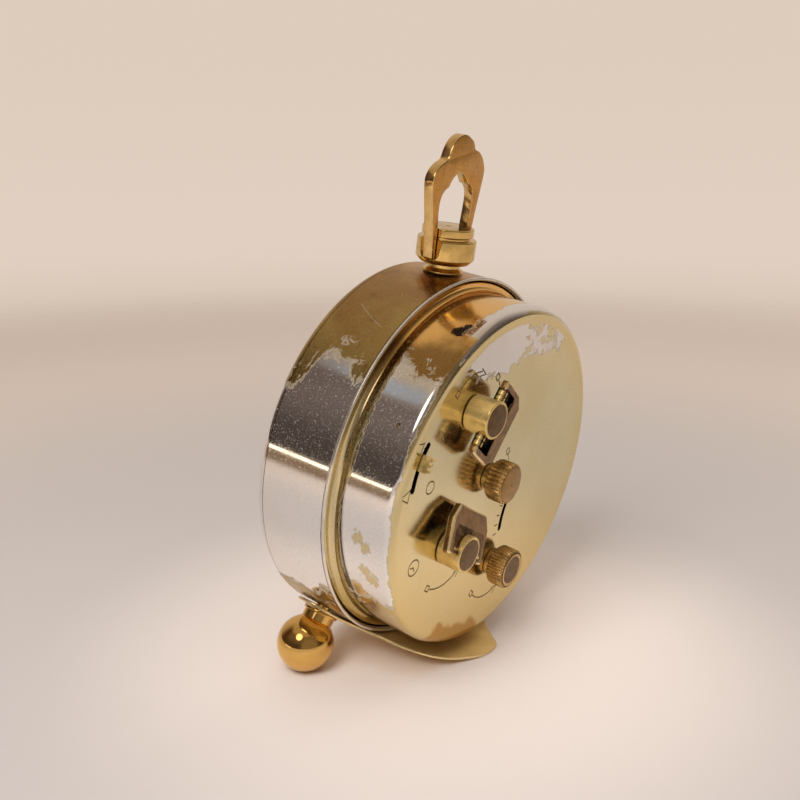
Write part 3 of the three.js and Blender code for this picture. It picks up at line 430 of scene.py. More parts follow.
def case_scratch(s):
    """One long curved scratch across the upper side."""
    along = s.add(s.y, -4.2)
    curve = s.add(1.0507, s.times(along, -0.0225), s.times(s.times(along, along), 0.0008))
    gap = s.math("SUBTRACT", side_angle(s), curve)
    ends = s.times(s.step(along, 0.0, 0.6), s.step(along, 6.6, 5.6))
    return s.times(s.times(s.band(gap, 0.0, 0.0042), ends), 2.0)


def cover_field(s):
    angle = side_angle(s)
    strip = s.step(angle, 0.08, 0.22, 14.4, 15.2)
    fray = s.ripple(0.16, 0.75, detail=5, roughness=0.65, shift=21.0)
    upper = s.step(s.y, 15.6, 18.5, 0.83, 0.79)
    side = s.least(
        s.math("SUBTRACT", upper, angle),
        s.add(angle, 0.52),
        s.add(s.times(s.math("SUBTRACT", s.y, strip), 0.28), fray),
        s.add(s.times(s.math("SUBTRACT", 22.7, s.y), 0.28), fray),
    )
    patches = ((-6.4, 17.6, 0.95), (-8.8, 19.0, 0.85), (-17.5, 18.9, 0.9), (-19.8, 20.0, 1.1),
               (-26.5, 16.6, 1.1), (29.8, 19.8, 0.4))
    side = s.add(side, s.times(blots(s, patches), -1.0))
    crest = s.add(s.times(s.least(s.add(s.y, -20.8), s.times(s.add(angle, -1.13), 27)), 0.25), fray)
    crest = s.least(crest, s.times(s.math("SUBTRACT", 23.1, s.y), 0.6))
    flat = s.add(s.times(s.step(s.y, 22.6, 23.0), 3.0), -3.0)
    main = s.patch((0.118, 0, 0.20), (0.75, 0, 4.62), 1.0)
    eaten = s.ripple(0.26, 0.55, detail=6, roughness=0.66, shift=2.0)
    isles = s.patch((0.09, 0, 0.24), (-0.72, 0, 5.25), 0.95)
    isles = s.add(s.times(s.least(isles, 0.35), 0.5), s.times(eaten, 1.5), -0.16)
    radius = s.length(s.x, s.z)
    edge_line = s.times(s.band(s.add(radius, s.times(fray, 1.5)), 25.6, 0.8), -1.5)
    plate = s.add(s.most(s.add(s.times(main, 0.5), eaten), isles), flat, edge_line)
    return s.most(side, crest, plate)


def cover_worn(s):
    angle = side_angle(s)
    radius = s.length(s.x, s.z)
    cloud = s.noise(0.08, detail=5, roughness=0.55)
    pale = s.mix(s.step(cloud, 0.35, 0.7), PALE_BRASS, (0.76, 0.66, 0.38, 1))
    # Dark brown low on the cover's side to bright gold near its top: partly the brass's own tone, partly a painted
    # reflection brightening the upper side.
    gold_and_painted_sheen = s.mix(s.step(s.add(angle, s.times(s.add(cloud, -0.5), 1.4)), 0.80, 1.12),
                 (0.36, 0.21, 0.065, 1), (0.95, 0.58, 0.18, 1))
    plate = s.step(s.y, COVER_BACK - 0.9, COVER_BACK - 0.2)
    rim_tone = s.step(radius, PLATE_EDGE - 4.0, PLATE_EDGE + 0.2)
    pale = s.mix(s.times(rim_tone, 0.5), pale, (0.80, 0.64, 0.30, 1))
    pale = s.mix(s.step(s.z, 6, -24, 0, 0.8), pale, (0.70, 0.52, 0.20, 1))
    # Darker gold-brown patch along the lower rim of the plate, between x about -2 and 16 mm.
    fray = s.ripple(1.6, 0.4, detail=5, shift=31.0)
    ends = s.add(s.step(s.x, 12.0, 16.5, 0, -3.5), s.step(s.x, 2.5, -2.0, 0, -3.5))
    brown_patch = s.times(s.step(s.add(radius, fray, ends), 23.3, 24.5), s.step(s.z, -10, -12))
    pale = s.mix(brown_patch, pale, (0.50, 0.27, 0.045, 1))
    # upper side takes the gold with its painted reflection
    upper = s.step(angle, 0.45, 0.85)
    low_tone = s.step(angle, -0.25, -0.75)
    side = s.mix(low_tone, (0.70, 0.59, 0.34, 1), (0.60, 0.45, 0.16, 1))
    side = s.mix(upper, side, gold_and_painted_sheen)
    dark = blots(s, ((65.0, 19.7, 1.1), (67.5, 20.4, 0.9), (31.0, 19.7, 0.55)), 0.3)
    side = s.mix(dark, side, DARK_SPOT)
    return s.mix(plate, side, pale)


def plain_metal(name, colour, roughness, variation=0.25, mottle=0.35, scratch=0.4, film=0.0):
    """Solid metal: colour clouds, smudged gloss, fine scratches and a slightly uneven surface.
    film is how much of it lies under a dull film."""
    s = Surface(name, metallic=1.0 - film)
    dark = tuple(channel * (1 - variation) for channel in colour[:3]) + (1,)
    cloud = s.noise(mottle, detail=5, roughness=0.6)
    tone = s.mix(s.step(cloud, 0.35, 0.7), colour, dark)
    tone = s.mix(s.times(s.specks(1.8, 0.12, 0.06), 0.5), tone, DARK_SPOT)
    lines = s.times(scratches(s, 1.1, 2.6, 0.008), scratch)
    s.colour(s.mix(s.times(lines, 0.4), tone, BRIGHT_BRASS))
    smudge = s.times(s.step(s.noise(mottle * 2.3, detail=4, shift=4.0), 0.4, 0.75), 0.10)
    s.rough(s.add(roughness, smudge, s.times(lines, 0.1)))
    relief = s.add(s.times(s.noise(0.5, detail=2, shift=9.0), 0.6), s.times(s.noise(4.0), 0.12))
    s.bump(relief, 0.012)
    return s.material


def clear_glass():
    s = Surface("crystal_glass", metallic=0.0)
    s.shader.inputs["Transmission Weight"].default_value = 1.0
    s.shader.inputs["IOR"].default_value = 1.49
    tint = s.noise(0.1, detail=2)
    s.colour(s.mix(tint, (1, 1, 1, 1), (0.97, 0.99, 0.985, 1)))
    s.rough(s.times(s.specks(0.8, 0.08, 0.04), 0.2))
    s.bump(scratches(s, 0.4, 1.2, 0.003), 0.002)
    return s.material


def dial_paint():
    s = Surface("dial_paint", metallic=0.0)
    cloud = s.noise(0.07, detail=6, roughness=0.6)
    tone = s.mix(s.step(cloud, 0.35, 0.75), (0.84, 0.78, 0.64, 1), (0.76, 0.68, 0.52, 1))
    s.colour(s.mix(s.times(s.specks(0.7, 0.1, 0.1), 0.4), tone, (0.45, 0.36, 0.22, 1)))
    s.rough(s.step(cloud, 0.2, 0.8, 0.42, 0.6))
    s.bump(s.noise(3.0, detail=4), 0.01)
    return s.material


def enamel(name, colour):
    s = Surface(name, metallic=0.0)
    cloud = s.noise(0.4, detail=4)
    lifted = tuple(min(channel * 1.6 + 0.01, 1) for channel in colour[:3]) + (1,)
    s.colour(s.mix(s.step(cloud, 0.4, 0.7), colour, lifted))
    s.rough(s.step(cloud, 0.3, 0.7, 0.28, 0.45))
    s.bump(s.noise(2.5, detail=3), 0.008)
    return s.material


MATERIALS = {
    "case": worn_plating("case_plating", case_field, case_worn, 0.24, 0.10, case_scratch),
    "cover": worn_plating("cover_plating", cover_field, cover_worn, 0.14, 0.08),
    "rim": plain_metal("rim_silver", (0.88, 0.83, 0.74, 1), 0.20, 0.3, 0.12, film=0.1),
    "lip": plain_metal("lip_brass", (0.85, 0.76, 0.55, 1), 0.12),
    "polished": plain_metal("polished_brass", (0.80, 0.50, 0.15, 1), 0.05, 0.12, 0.2),
    "collar": plain_metal("collar_brass", (0.80, 0.56, 0.20, 1), 0.12, 0.25, 0.4),
    "handle": plain_metal("handle_brass", (0.70, 0.36, 0.09, 1), 0.26, 0.18, 0.35, film=0.15),
    "handle_edge": plain_metal("handle_edge_brass", (0.84, 0.58, 0.24, 1), 0.14),
    "strap": plain_metal("strap_brass", (0.92, 0.66, 0.27, 1), 0.30, 0.2, 0.15, film=0.5),
    "aged": plain_metal("aged_brass", (0.31, 0.165, 0.055, 1), 0.26, 0.4, 0.6, film=0.1),
    "edge": plain_metal("rubbed_brass", (0.92, 0.72, 0.38, 1), 0.18, film=0.25),
    "post": plain_metal("post_brass", (0.84, 0.62, 0.24, 1), 0.18, 0.3, 0.5, film=0.25),
    "patina": plain_metal("dark_patina", (0.18, 0.105, 0.045, 1), 0.36, 0.3, 0.8),
    "knob": plain_metal("knob_brass", (0.66, 0.42, 0.16, 1), 0.24, 0.35, 0.6, film=0.15),
    "knob_end": plain_metal("knob_end_brass", (0.46, 0.27, 0.10, 1), 0.30, 0.25, 0.7),
    "mark": plain_metal("engraved_mark", (0.40, 0.30, 0.15, 1), 0.40),
    "glass": clear_glass(),
    "dial": dial_paint(),
    "ink": enamel("dial_ink", (0.015, 0.013, 0.012, 1)),
    "hand": enamel("hand_enamel", (0.02, 0.018, 0.016, 1)),
    "lume": enamel("hand_lume", (0.62, 0.60, 0.40, 1)),
    "inner_brass": plain_metal("movement_brass", (0.76, 0.57, 0.26, 1), 0.28, 0.2, 0.2),
    "steel": plain_metal("plain_steel", (0.55, 0.54, 0.53, 1), 0.25, 0.3, 0.4, 0.2),
    "spring": plain_metal("spring_steel", (0.16, 0.19, 0.30, 1), 0.22, 0.4, 0.3, 0.2),
}


# ---------------------------------------------------------------- mesh building
ON_AXIS = 1e-6  # radius below which a turned surface ends in a point


def rounded(points, steps=5):
    """An outline's points with corners rounded: a point may be (a, b) or (a, b, radius)."""
    result = []
    count = len(points)
    for i, point in enumerate(points):
        corner = Vector(point[:2])
        radius = point[2] if len(point) > 2 else 0
        if not radius:
            result.append(tuple(corner))
            continue
        back = Vector(points[i - 1][:2]) - corner
        ahead = Vector(points[(i + 1) % count][:2]) - corner
        half = back.angle(ahead) / 2
        reach = min(radius / math.tan(half), 0.49 * back.length, 0.49 * ahead.length)
        radius = reach * math.tan(half)
        start = corner + back.normalized() * reach
        end = corner + ahead.normalized() * reach
        toward = (back.normalized() + ahead.normalized()).normalized()
        centre = corner + toward * radius / math.sin(half)
        first, last = start - centre, end - centre
        sweep = first.angle_signed(last)
        for k in range(steps + 1):
            turn = Matrix.Rotation(-sweep * k / steps, 2)
            result.append(tuple(centre + turn @ first))
    return result


def arc(centre, radius, start, end, steps):
    """Points on an arc, angles in degrees."""
    angles = [math.radians(start + (end - start) * i / steps) for i in range(steps + 1)]
    return [(centre[0] + radius * math.cos(a), centre[1] + radius * math.sin(a)) for a in angles]


def bezier(start, first, second, end, steps=10):
    """Points on a cubic curve, without its start."""
    points = []
    for i in range(1, steps + 1):
        t = i / steps
        weights = ((1 - t) ** 3, 3 * t * (1 - t) ** 2, 3 * t * t * (1 - t), t ** 3)
        points.append(tuple(
            sum(w * p[axis] for w, p in zip(weights, (start, first, second, end)))
            for axis in (0, 1)
        ))
    return points


def chain(start, *spans):
    """Points along joined cubic curves from a start: a span is (first, second, end, steps)."""
    points = [start]
    for first, second, end, steps in spans:
        points += bezier(points[-1], first, second, end, steps)
    return points


def rod(radius, y0, y1):
    """Section of a plain round rod."""
    return [(0, y0), (radius, y0), (radius, y1), (0, y1)]


def flipped(half):
    """An outline's half turned over about its first axis, back to front."""
    return [(point[0], -point[1], *point[2:]) for point in reversed(half)]


def ring_pairs(rings, closed):
    """Neighbouring rings, the last with the first where the rings come round."""
    return list(zip(rings, rings[1:])) + ([(rings[-1], rings[0])] if closed else [])


def lathe(bm, profile, matrix=Matrix(), segments=96, material=0):
    """Turned closed surface about Y, from (radius, y) points along its section."""
    rings = []
    for radius, y in profile:
        if radius < ON_AXIS:
            rings.append([bm.verts.new(matrix @ Vector((0, y, 0)))])
            continue
        angles = [2 * math.pi * i / segments for i in range(segments)]
        rings.append([bm.verts.new(matrix @ (direction(a) * radius + Vector((0, y, 0))))
                      for a in angles])
    for lower, upper in ring_pairs(rings, profile[0][0] > ON_AXIS):
        for i in range(segments):
            j = (i + 1) % segments
            corners = [lower[i % len(lower)], lower[j % len(lower)],
                       upper[j % len(upper)], upper[i % len(upper)]]
            corners = list(dict.fromkeys(corners))
            if len(corners) > 2:
                bm.faces.new(corners).material_index = material


def inset_outline(outline, distance):
    """The outline moved inwards by a distance, with mitred corners."""
    count = len(outline)
    area = sum(outline[i - 1][0] * outline[i][1] - outline[i][0] * outline[i - 1][1]
               for i in range(count))
    inward = 1 if area > 0 else -1
    result = []
    for i in range(count):
        here = Vector(outline[i])
        before = (here - Vector(outline[i - 1])).normalized()
        after = (Vector(outline[(i + 1) % count]) - here).normalized()
        normal = Vector((-before.y - after.y, before.x + after.x))
        normal.normalize()
        cosine = max(normal.dot(Vector((-before.y, before.x))), 0.45)
        result.append(tuple(here + normal * inward * distance / cosine))
    return result


def prism(bm, outline, layers, matrix=Matrix(), side=0, cap=0, chamfer=0):
    """Closed piece with the outline (x, z) as its section and layers of (inset, y) along Y.
    side, cap and chamfer are material numbers."""
    rings = []
    for inset, y in layers:
        points = inset_outline(outline, inset) if inset else outline
        rings.append([bm.verts.new(matrix @ Vector((a, y, b))) for a, b in points])
    for (lower, upper), (first, second) in zip(zip(rings, rings[1:]), zip(layers, layers[1:])):
        for i in range(len(lower)):
            face = bm.faces.new((lower[i - 1], lower[i], upper[i], upper[i - 1]))
            face.material_index = side if first[0] == second[0] else chamfer
    for ring in (rings[0], rings[-1]):
        bm.faces.new(ring).material_index = cap


def soft_layers(y0, y1, edge):
    """Layers of a plate whose edges are rounded by edge."""
    quarter = edge * (1 - math.sqrt(0.5))
    return [
        (edge, y0), (quarter, y0 + quarter), (0, y0 + edge),
        (0, y1 - edge), (quarter, y1 - quarter), (edge, y1),
    ]


def to_mesh(bm, name):
    """Mesh with all its faces looking outwards."""
    bmesh.ops.recalc_face_normals(bm, faces=bm.faces)
    mesh = bpy.data.meshes.new(name)
    bm.to_mesh(mesh)
    bm.free()
    return mesh


def piece(name, bm, materials, body, replaced=(), sharp_angle=40.0):
    """Turns a mesh in millimetres into a piece that rides on a body."""
    mesh = to_mesh(bm, name)
    mesh.transform(Matrix.Scale(MM, 4))
    for polygon in mesh.polygons:
        polygon.use_smooth = True
    mesh.set_sharp_from_angle(angle=math.radians(sharp_angle))
    thing = link(name, mesh)
    thing.matrix_world = CLOCK
    for material in materials:
        mesh.materials.append(MATERIALS[material])
    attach(thing, body)
    if replaced:
        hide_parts(*replaced)


def turned_piece(name, profile, segments, material, body, replaced=()):
    """A piece of one material, turned about the clock's axis."""
    bm = bmesh.new()
    lathe(bm, profile, segments=segments)
    piece(name, bm, [material], body, replaced)


def plain_object(bm, name):
    mesh = to_mesh(bm, name)
    for _ in range(2):
        mesh.materials.append(None)
    return link(name, mesh)


def evaluated_mesh(thing):
    """Mesh of an object as its modifiers or its text settings leave it."""
    bpy.context.view_layer.update()
    done = thing.evaluated_get(bpy.context.evaluated_depsgraph_get())
    return bpy.data.meshes.new_from_object(done)


def carve(solid, cutter):
    """One mesh cut out of another, both in millimetres; cut faces keep the cutter's material
    number."""
    target, tool = plain_object(solid, "carved"), plain_object(cutter, "cutter")
    modifier = target.modifiers.new("cut", "BOOLEAN")
    modifier.operation = "DIFFERENCE"
    modifier.solver = "EXACT"
    modifier.material_mode = "INDEX"
    modifier.use_self = True
    modifier.object = tool
    mesh = evaluated_mesh(target)
    result = bmesh.new()
    result.from_mesh(mesh)
    for used in (target.data, tool.data, mesh):
        bpy.data.meshes.remove(used)
    return result


# ---------------------------------------------------------------- case
LIP_BEAD = 0.25


def add_front_case():
    wall = CASE_R - 0.1
    inner = CASE_R - 0.6
    lip = CASE_BACK - 2 * LIP_BEAD - 0.1
    shell = [(inner, CASE_FRONT), (wall - 0.08, CASE_FRONT), (wall, CASE_FRONT + 0.08)]
    shell += [(wall, CASE_FRONT + 0.3), (wall, lip), (inner, lip)]
    turned_piece("case_shell", shell, 192, "case", "case", ["front_case"])

    bead = arc((CASE_R - LIP_BEAD, CASE_BACK - LIP_BEAD), LIP_BEAD, -110, 90, 12)
    bead += [(CASE_R - 1.6 * LIP_BEAD, CASE_BACK - 0.05), (inner + 0.22, lip),
             (inner, lip - 0.05), (inner, lip - 0.3)]
    turned_piece("case_lip", bead, 192, "rim", "case")


BEZEL_SEAT_R = 28.5
GLASS_THICK = 0.9
GLASS_BULGE = 2.65
GLASS_ARC = 0.9  # radians from the middle of the glass to its rim


def add_bezel():
    sight = span("crystal")[1].x - 1.9
    corner = CASE_FRONT - 0.06
    profile = [(sight, 0.55), (sight + 0.15, 0.3), (sight + 0.3, 0.1), (sight + 0.55, 0.0)]
    profile += arc((BEZEL_R - corner, corner), corner, -90, 0, 10)
    profile += [(BEZEL_SEAT_R, corner), (BEZEL_SEAT_R, 3.4)]
    profile += [(BEZEL_SEAT_R - 0.5, 3.4), (BEZEL_SEAT_R - 0.5, 0.95)]
    turned_piece("bezel_ring", profile, 192, "case", "case", ["bezel"])


def add_crystal():
    """Domed glass of even thickness."""
    low, high = span("crystal")
    rim = high.x
    outside = [(rim * i / 12, low.y + (1 - math.cos(i / 12 * GLASS_ARC)) * GLASS_BULGE)
               for i in range(12)]
    inside = [(r, y + GLASS_THICK) for r, y in reversed(outside)]
    section = outside + [(rim, high.y - 1.0), (rim, high.y)] + inside
    turned_piece("crystal_glass", section, 128, "glass", "case", ["crystal"])


# ---------------------------------------------------------------- rear cover and its markings
MARK_WIDTH = 0.22
MARK_DEPTH = 0.12
THROUGH_COVER = [(0, COVER_BACK - 2), (0, COVER_BACK + 1)]


def groove(bm, points, width=MARK_WIDTH, closed=False):
    """Cutter for one engraved line through (x, z) points on the cover's plate."""
    half = width / 2
    low, high = COVER_BACK - MARK_DEPTH, COVER_BACK + 0.3
    count = len(points)
    left, right = [], []
    for i, point in enumerate(points):
        here = Vector(point)
        before = Vector(points[i - 1]) if (closed or i) else None
        after = Vector(points[(i + 1) % count]) if (closed or i < count - 1) else None
        incoming = (here - before).normalized() if before is not None else None
        outgoing = (after - here).normalized() if after is not None else None
        if incoming is None:
            heading, cosine = outgoing, 1.0
            here = here - outgoing * half
        elif outgoing is None:
            heading, cosine = incoming, 1.0
            here = here + incoming * half
        else:
            heading = (incoming + outgoing).normalized()
            cosine = max(heading.dot(incoming), 0.5)
        across = Vector((-heading.y, heading.x)) * half / cosine
        left.append(here + across)
        right.append(here - across)
    rings = []
    for a, b in zip(left, right):
        deep = (a + b) / 2
        rings.append([
            bm.verts.new((a.x, high, a.y)),
            bm.verts.new((b.x, high, b.y)),
            bm.verts.new((b.x, COVER_BACK, b.y)),
            bm.verts.new((deep.x, low, deep.y)),
            bm.verts.new((a.x, COVER_BACK, a.y)),
        ])
    for first, second in ring_pairs(rings, closed):
        for k in range(5):
            bm.faces.new((first[k - 1], first[k], second[k], second[k - 1]))
    if not closed:
        bm.faces.new(rings[0])
        bm.faces.new(rings[-1])


def moved(points, at, turn, size=1.0):
    """Points of a symbol placed on the plate."""
    cosine, sine = math.cos(turn) * size, math.sin(turn) * size
    return [(at[0] + a * cosine - b * sine, at[1] + a * sine + b * cosine) for a, b in points]


def arc_arrow(bm, centre, radius, start, end):
    """Curved arrow: a line with a square tail at its start and an open head at its end."""
    swing = 1 if end > start else -1
    steps = max(int(abs(end - start) / 12), 3)
    gap = math.degrees(0.75 / radius) * swing
    line = arc(centre, radius, start + gap, end - gap * 0.3, steps)
    groove(bm, line)
    tail = arc(centre, radius, start, start, 1)[0]
    along = math.radians(start) + swing * math.pi / 2
    square = [(-0.45, -0.42), (0.45, -0.42), (0.45, 0.42), (-0.45, 0.42)]
    groove(bm, moved(square, tail, along), closed=True)
    tip = arc(centre, radius, end, end, 1)[0]
    ahead = math.radians(end) + swing * (math.pi / 2 + 0.12)
    groove(bm, moved([(-0.35, 0.75), (1.0, 0.28), (-0.35, -0.35)], tip, ahead))


def bell_symbol(bm, at, turn, size):
    side = bezier((-1.0, -0.9), (-0.55, -0.4), (-0.75, 1.0), (0.0, 1.0), 5)
    half = [(-1.0, -0.9)] + side
    whole = half + [(-a, b) for a, b in reversed(half[:-1])]
    groove(bm, moved(whole, at, turn, size), closed=True)
    groove(bm, moved(arc((0, -1.25), 0.32, 200, 340, 4), at, turn, size))


def dial_symbol(bm, at, turn, size):
    ring = arc((0, 0), 1.0, 0, 330, 11)
    groove(bm, moved(ring, at, turn, size), closed=True)
    groove(bm, moved([(0, 0.62), (0, 0), (0.42, -0.25)], at, turn, size))


ARROWS = (  # hinge, radius, start and end in degrees
    ("alarm_key_turn", 6.0, 38, 100),
    ("alarm_key_turn", 6.9, 142, 168),
    ("time_key_turn", 6.9, 302, 238),
    ("alarm_knob_turn", 6.3, 318, 250),
    ("time_knob_turn", 5.6, 150, 215),
)
SCALE_INNER, SCALE_OUTER = 11.35, 12.05  # reach of the regulator's scale lines


def add_markings(bm):
    for hinge, radius, start, end in ARROWS:
        arc_arrow(bm, hinge_at(hinge), radius, start, end)
    bell_symbol(bm, (23.4, 11.2), math.radians(-68), 0.95)
    groove(bm, [(18.6, 12.6), (17.6, 10.9)])
    groove(bm, arc((19.4, 4.4), 0.95, 0, 330, 11), closed=True)
    groove(bm, [(26.1, 4.6), (24.1, 5.5), (24.5, 3.6)], closed=True)
    dial_symbol(bm, (20.9, -7.6), math.radians(-80), 1.25)
    x, z = REGULATOR_AT
    for degrees in range(-4, 29, 8):
        ray = direction(math.radians(degrees))
        groove(bm, [(x + ray.x * r, z + ray.z * r) for r in (SCALE_INNER, SCALE_OUTER)], 0.2)
    for name in ("time_knob_turn", "alarm_knob_turn"):
        groove(bm, arc(hinge_at(name), 4.1, 20, 60, 4), 0.16)


def slot_cutter(bm, pivot, radius, middle, half, width):
    """Cutter for a curved slot with round ends, swept about a pivot."""
    start, end = math.degrees(middle - half), math.degrees(middle + half)
    outer = arc(pivot, radius + width / 2, start, end, 10)
    inner = arc(pivot, radius - width / 2, end, start, 10)
    ends = [arc(pivot, radius, degrees, degrees, 1)[0] for degrees in (end, start)]
    first = arc(ends[0], width / 2, end + 20, end + 160, 4)
    last = arc(ends[1], width / 2, start + 200, start + 340, 4)
    outline = outer[:-1] + first + inner[1:-1] + last
    prism(bm, outline, THROUGH_COVER)


def middle_of_slot(pivot, low, high):
    """Heading and distance from a pivot to the middle of a box."""
    centre = (low + high) / 2
    heading = math.atan2(centre.z - pivot[1], centre.x - pivot[0])
    return heading, math.hypot(centre.z - pivot[1], centre.x - pivot[0])


LEVER_AT = hinge_at("alarm_lever_shift")
LEVER_HEADING, LEVER_RADIUS = middle_of_slot(LEVER_AT, *span("alarm_lever", COVER_BACK))
REGULATOR_TAB_Y = 22.4  # where the regulator's tab leaves its arm
REGULATOR_AT = hinge_at("regulator_shift")
REGULATOR_HEADING, REGULATOR_RADIUS = middle_of_slot(
    REGULATOR_AT, *span("regulator", REGULATOR_TAB_Y))
SLOTS = (  # pivot, radius, heading of the middle and half the angle in radians, width
    (LEVER_AT, LEVER_RADIUS, LEVER_HEADING - 0.06, 0.263, 1.0),
    (REGULATOR_AT, REGULATOR_RADIUS, REGULATOR_HEADING - 0.144, 0.346, 0.9),
)
HOLE_R = 1.45


def add_rear_cover():
    corner = (PLATE_EDGE, COVER_BACK - COVER_ROUND)
    floor = COVER_BACK - COVER_WALL
    inside = COVER_R - COVER_WALL
    section = [(0, floor), (PLATE_EDGE - 0.1, floor)]
    section += arc(corner, COVER_ROUND - COVER_WALL, 85, 0, 6)
    section += [(inside, COVER_FLANGE), (COVER_FLANGE_R, COVER_FLANGE)]
    section += [(COVER_FLANGE_R, SEAM_Y - 0.1), (COVER_FLANGE_R - 0.1, SEAM_Y)]
    section += arc((COVER_R + 0.9, SEAM_Y + 0.9), 0.9, 270, 180, 10)
    section += [(COVER_R, SEAM_Y + 1.05), (COVER_R, corner[1] - 0.15)]
    section += arc(corner, COVER_ROUND, 0, 90, 12)
    section += [(PLATE_EDGE - 0.15, COVER_BACK), (0, COVER_BACK)]
    bm = bmesh.new()
    lathe(bm, section, segments=192)

    cutter = bmesh.new()
    for name in ("time_key", "alarm_key", "time_knob", "alarm_knob"):
        hole = arc(hinge_at(name + "_turn"), HOLE_R, 0, 345, 23)
        prism(cutter, hole, THROUGH_COVER)
    for slot_settings in SLOTS:
        slot_cutter(cutter, *slot_settings)
    bm = carve(bm, cutter)

    cutter = bmesh.new()
    add_markings(cutter)
    for face in cutter.faces:
        face.material_index = 1
    bm = carve(bm, cutter)
    piece("cover_shell", bm, ["cover", "mark"], "case", ["rear_cover"], 30)


# ---------------------------------------------------------------- stand
def strap_outline():
    """Flat pattern of the saddle strap as (arc length from six o'clock, y)."""
    tip = (-0.6, 26.5)
    waist = (14.4, 14.6)
    near = chain(
        tip,
        ((1.0, 26.5), (2.8, 25.5), (4.25, 24.9), 6),
        ((6.5, 24.1), (8.6, 22.9), (10.0, 21.75), 6),
        ((12.2, 19.8), (13.6, 17.4), waist, 6),
    )
    end = chain(
        waist,
        ((15.2, 12.0), (16.6, 10.6), (18.6, 9.6), 6),
        ((21.2, 8.6), (23.4, 8.0), (23.5, 5.2), 8),
        ((23.4, 2.6), (21.8, 1.7), (19.6, 1.7), 6),
    )[1:]
    far = chain(
        (-waist[0], waist[1]),
        ((-13.2, 17.2), (-10.4, 19.0), (-7.6, 20.6), 6),
        ((-5.6, 21.9), (-4.8, 23.6), (-3.7, 25.4), 6),
        ((-3.0, 26.5), (-1.8, 26.5), tip, 6),
    )[:-1]
    return near + end + [(-a, b) for a, b in reversed(end)] + far


STRAP_CUTS = 56


def add_strap():
    """The flat strap, cut across into narrow strips and bent round the drum."""
    bm = bmesh.new()
    prism(bm, strap_outline(), soft_layers(0, STRAP_OUT - STRAP_IN, 0.1), side=1, chamfer=1)
    reach = max(v.co.x for v in bm.verts)
    for i in range(1, STRAP_CUTS):
        at = -reach + 2 * reach * i / STRAP_CUTS
        bmesh.ops.bisect_plane(bm, geom=bm.verts[:] + bm.edges[:] + bm.faces[:],
                               plane_co=(at, 0, 0), plane_no=(1, 0, 0))
    middle = (STRAP_IN + STRAP_OUT) / 2
    for vertex in bm.verts:
        angle = vertex.co.x / middle
        radius = STRAP_IN + vertex.co.y
        vertex.co = (radius * math.sin(angle), vertex.co.z, -radius * math.cos(angle))
    cut_at_floor(bm)
    piece("stand_strap", bm, ["strap", "edge"], "case", ["stand_bracket"])


def cut_at_floor(bm):
    """Removes what lies below the surface that the clock stands on."""
    point = in_clock((0, 0, 0))
    down = TO_CLOCK.to_3x3() @ Vector((0, 0, -1))
    found = bmesh.ops.bisect_plane(
        bm, geom=bm.verts[:] + bm.edges[:] + bm.faces[:],
        plane_co=point, plane_no=down, clear_outer=True)
    edges = [e for e in found["geom_cut"] if isinstance(e, bmesh.types.BMEdge)]
    if edges:
        bmesh.ops.edgeloop_fill(bm, edges=edges)


def add_foot(node, angle):
    stem_r = 2.5
    seat = STRAP_OUT + 0.05
    join = math.sqrt(BALL_R ** 2 - stem_r ** 2)
    start = math.degrees(math.atan2(-join, stem_r))
    profile = [(0, SCREW_END), (SCREW_R, SCREW_END), (SCREW_R, seat)]
    profile += rounded([(SCREW_R, seat), (stem_r + 0.35, seat, 0.12),
                        (stem_r + 0.35, STRAP_OUT + 0.45, 0.12), (stem_r, STRAP_OUT + 0.5)])[1:]
    profile += [(stem_r, STRAP_OUT + 0.55), (stem_r, BALL_RHO - join - 0.12)]
    profile += [(stem_r - 0.1, BALL_RHO - join - 0.02)]
    profile += arc((0, BALL_RHO), BALL_R, start + 0.5, 90, 40)[:-1] + [(0, BALL_RHO + BALL_R)]
    bm = bmesh.new()
    lathe(bm, profile, radial(angle, BALL_Y), segments=96)
    cut_at_floor(bm)
    piece(node + "_ball", bm, ["polished"], "case", [node])


# ---------------------------------------------------------------- handle
COLLAR_LOW, COLLAR_HIGH = 30.9, 34.6
COLLAR_R, CAP_R, SEAT = 4.5, 3.95, 3.7
LEG_FOOT = 31.6
HANDLE_SKEW = 0.085
LOBE_LIFT = 0.8


def add_handle_stem():
    wide, cap, top = COLLAR_R, CAP_R, CAP_HIGH
    seat = CASE_R + 0.05
    profile = [(0, SCREW_END), (SCREW_R, SCREW_END), (SCREW_R, seat)]
    profile += rounded([
        (SCREW_R, seat), (3.1, seat, 0.1), (3.1, CASE_R + 0.3, 0.1),
        (2.45, CASE_R + 0.7, 0.3), (2.5, COLLAR_LOW - 0.1), (2.5, COLLAR_LOW),
        (3.75, COLLAR_LOW, 0.1), (wide, COLLAR_LOW + 0.75, 0.25), (wide, COLLAR_HIGH, 0.22),
        (cap - 0.4, COLLAR_HIGH, 0.08), (cap - 0.4, COLLAR_HIGH + 0.35, 0.1),
        (cap, COLLAR_HIGH + 0.5, 0.12), (cap, top, 0.22), (0.42, top),
        (0.3, top - 0.12, 0.05), (0, top - 0.12),
    ])[1:]
    bm = bmesh.new()
    lathe(bm, profile, radial(0, STEM_Y), segments=96)
    wide_half, low_half = 2.15, 1.75
    cutter = bmesh.new()
    for side in (-1, 1):
        outline = [(wide_half, 6.0), (-wide_half, 6.0), (-wide_half, 2.0)]
        outline += arc((0, 0), low_half, 180, 360, 16) + [(wide_half, 2.0)]
        turn = Matrix(((0, side, 0), (1, 0, 0), (0, 0, 1))).to_4x4()
        place = Matrix.Translation((0, STEM_Y, PIVOT_Z)) @ turn
        prism(cutter, outline, [(0, SEAT), (0, SEAT + 4)], place)
    bm = carve(bm, cutter)
    piece("handle_collar", bm, ["collar"], "case", ["handle_stem"], 30)


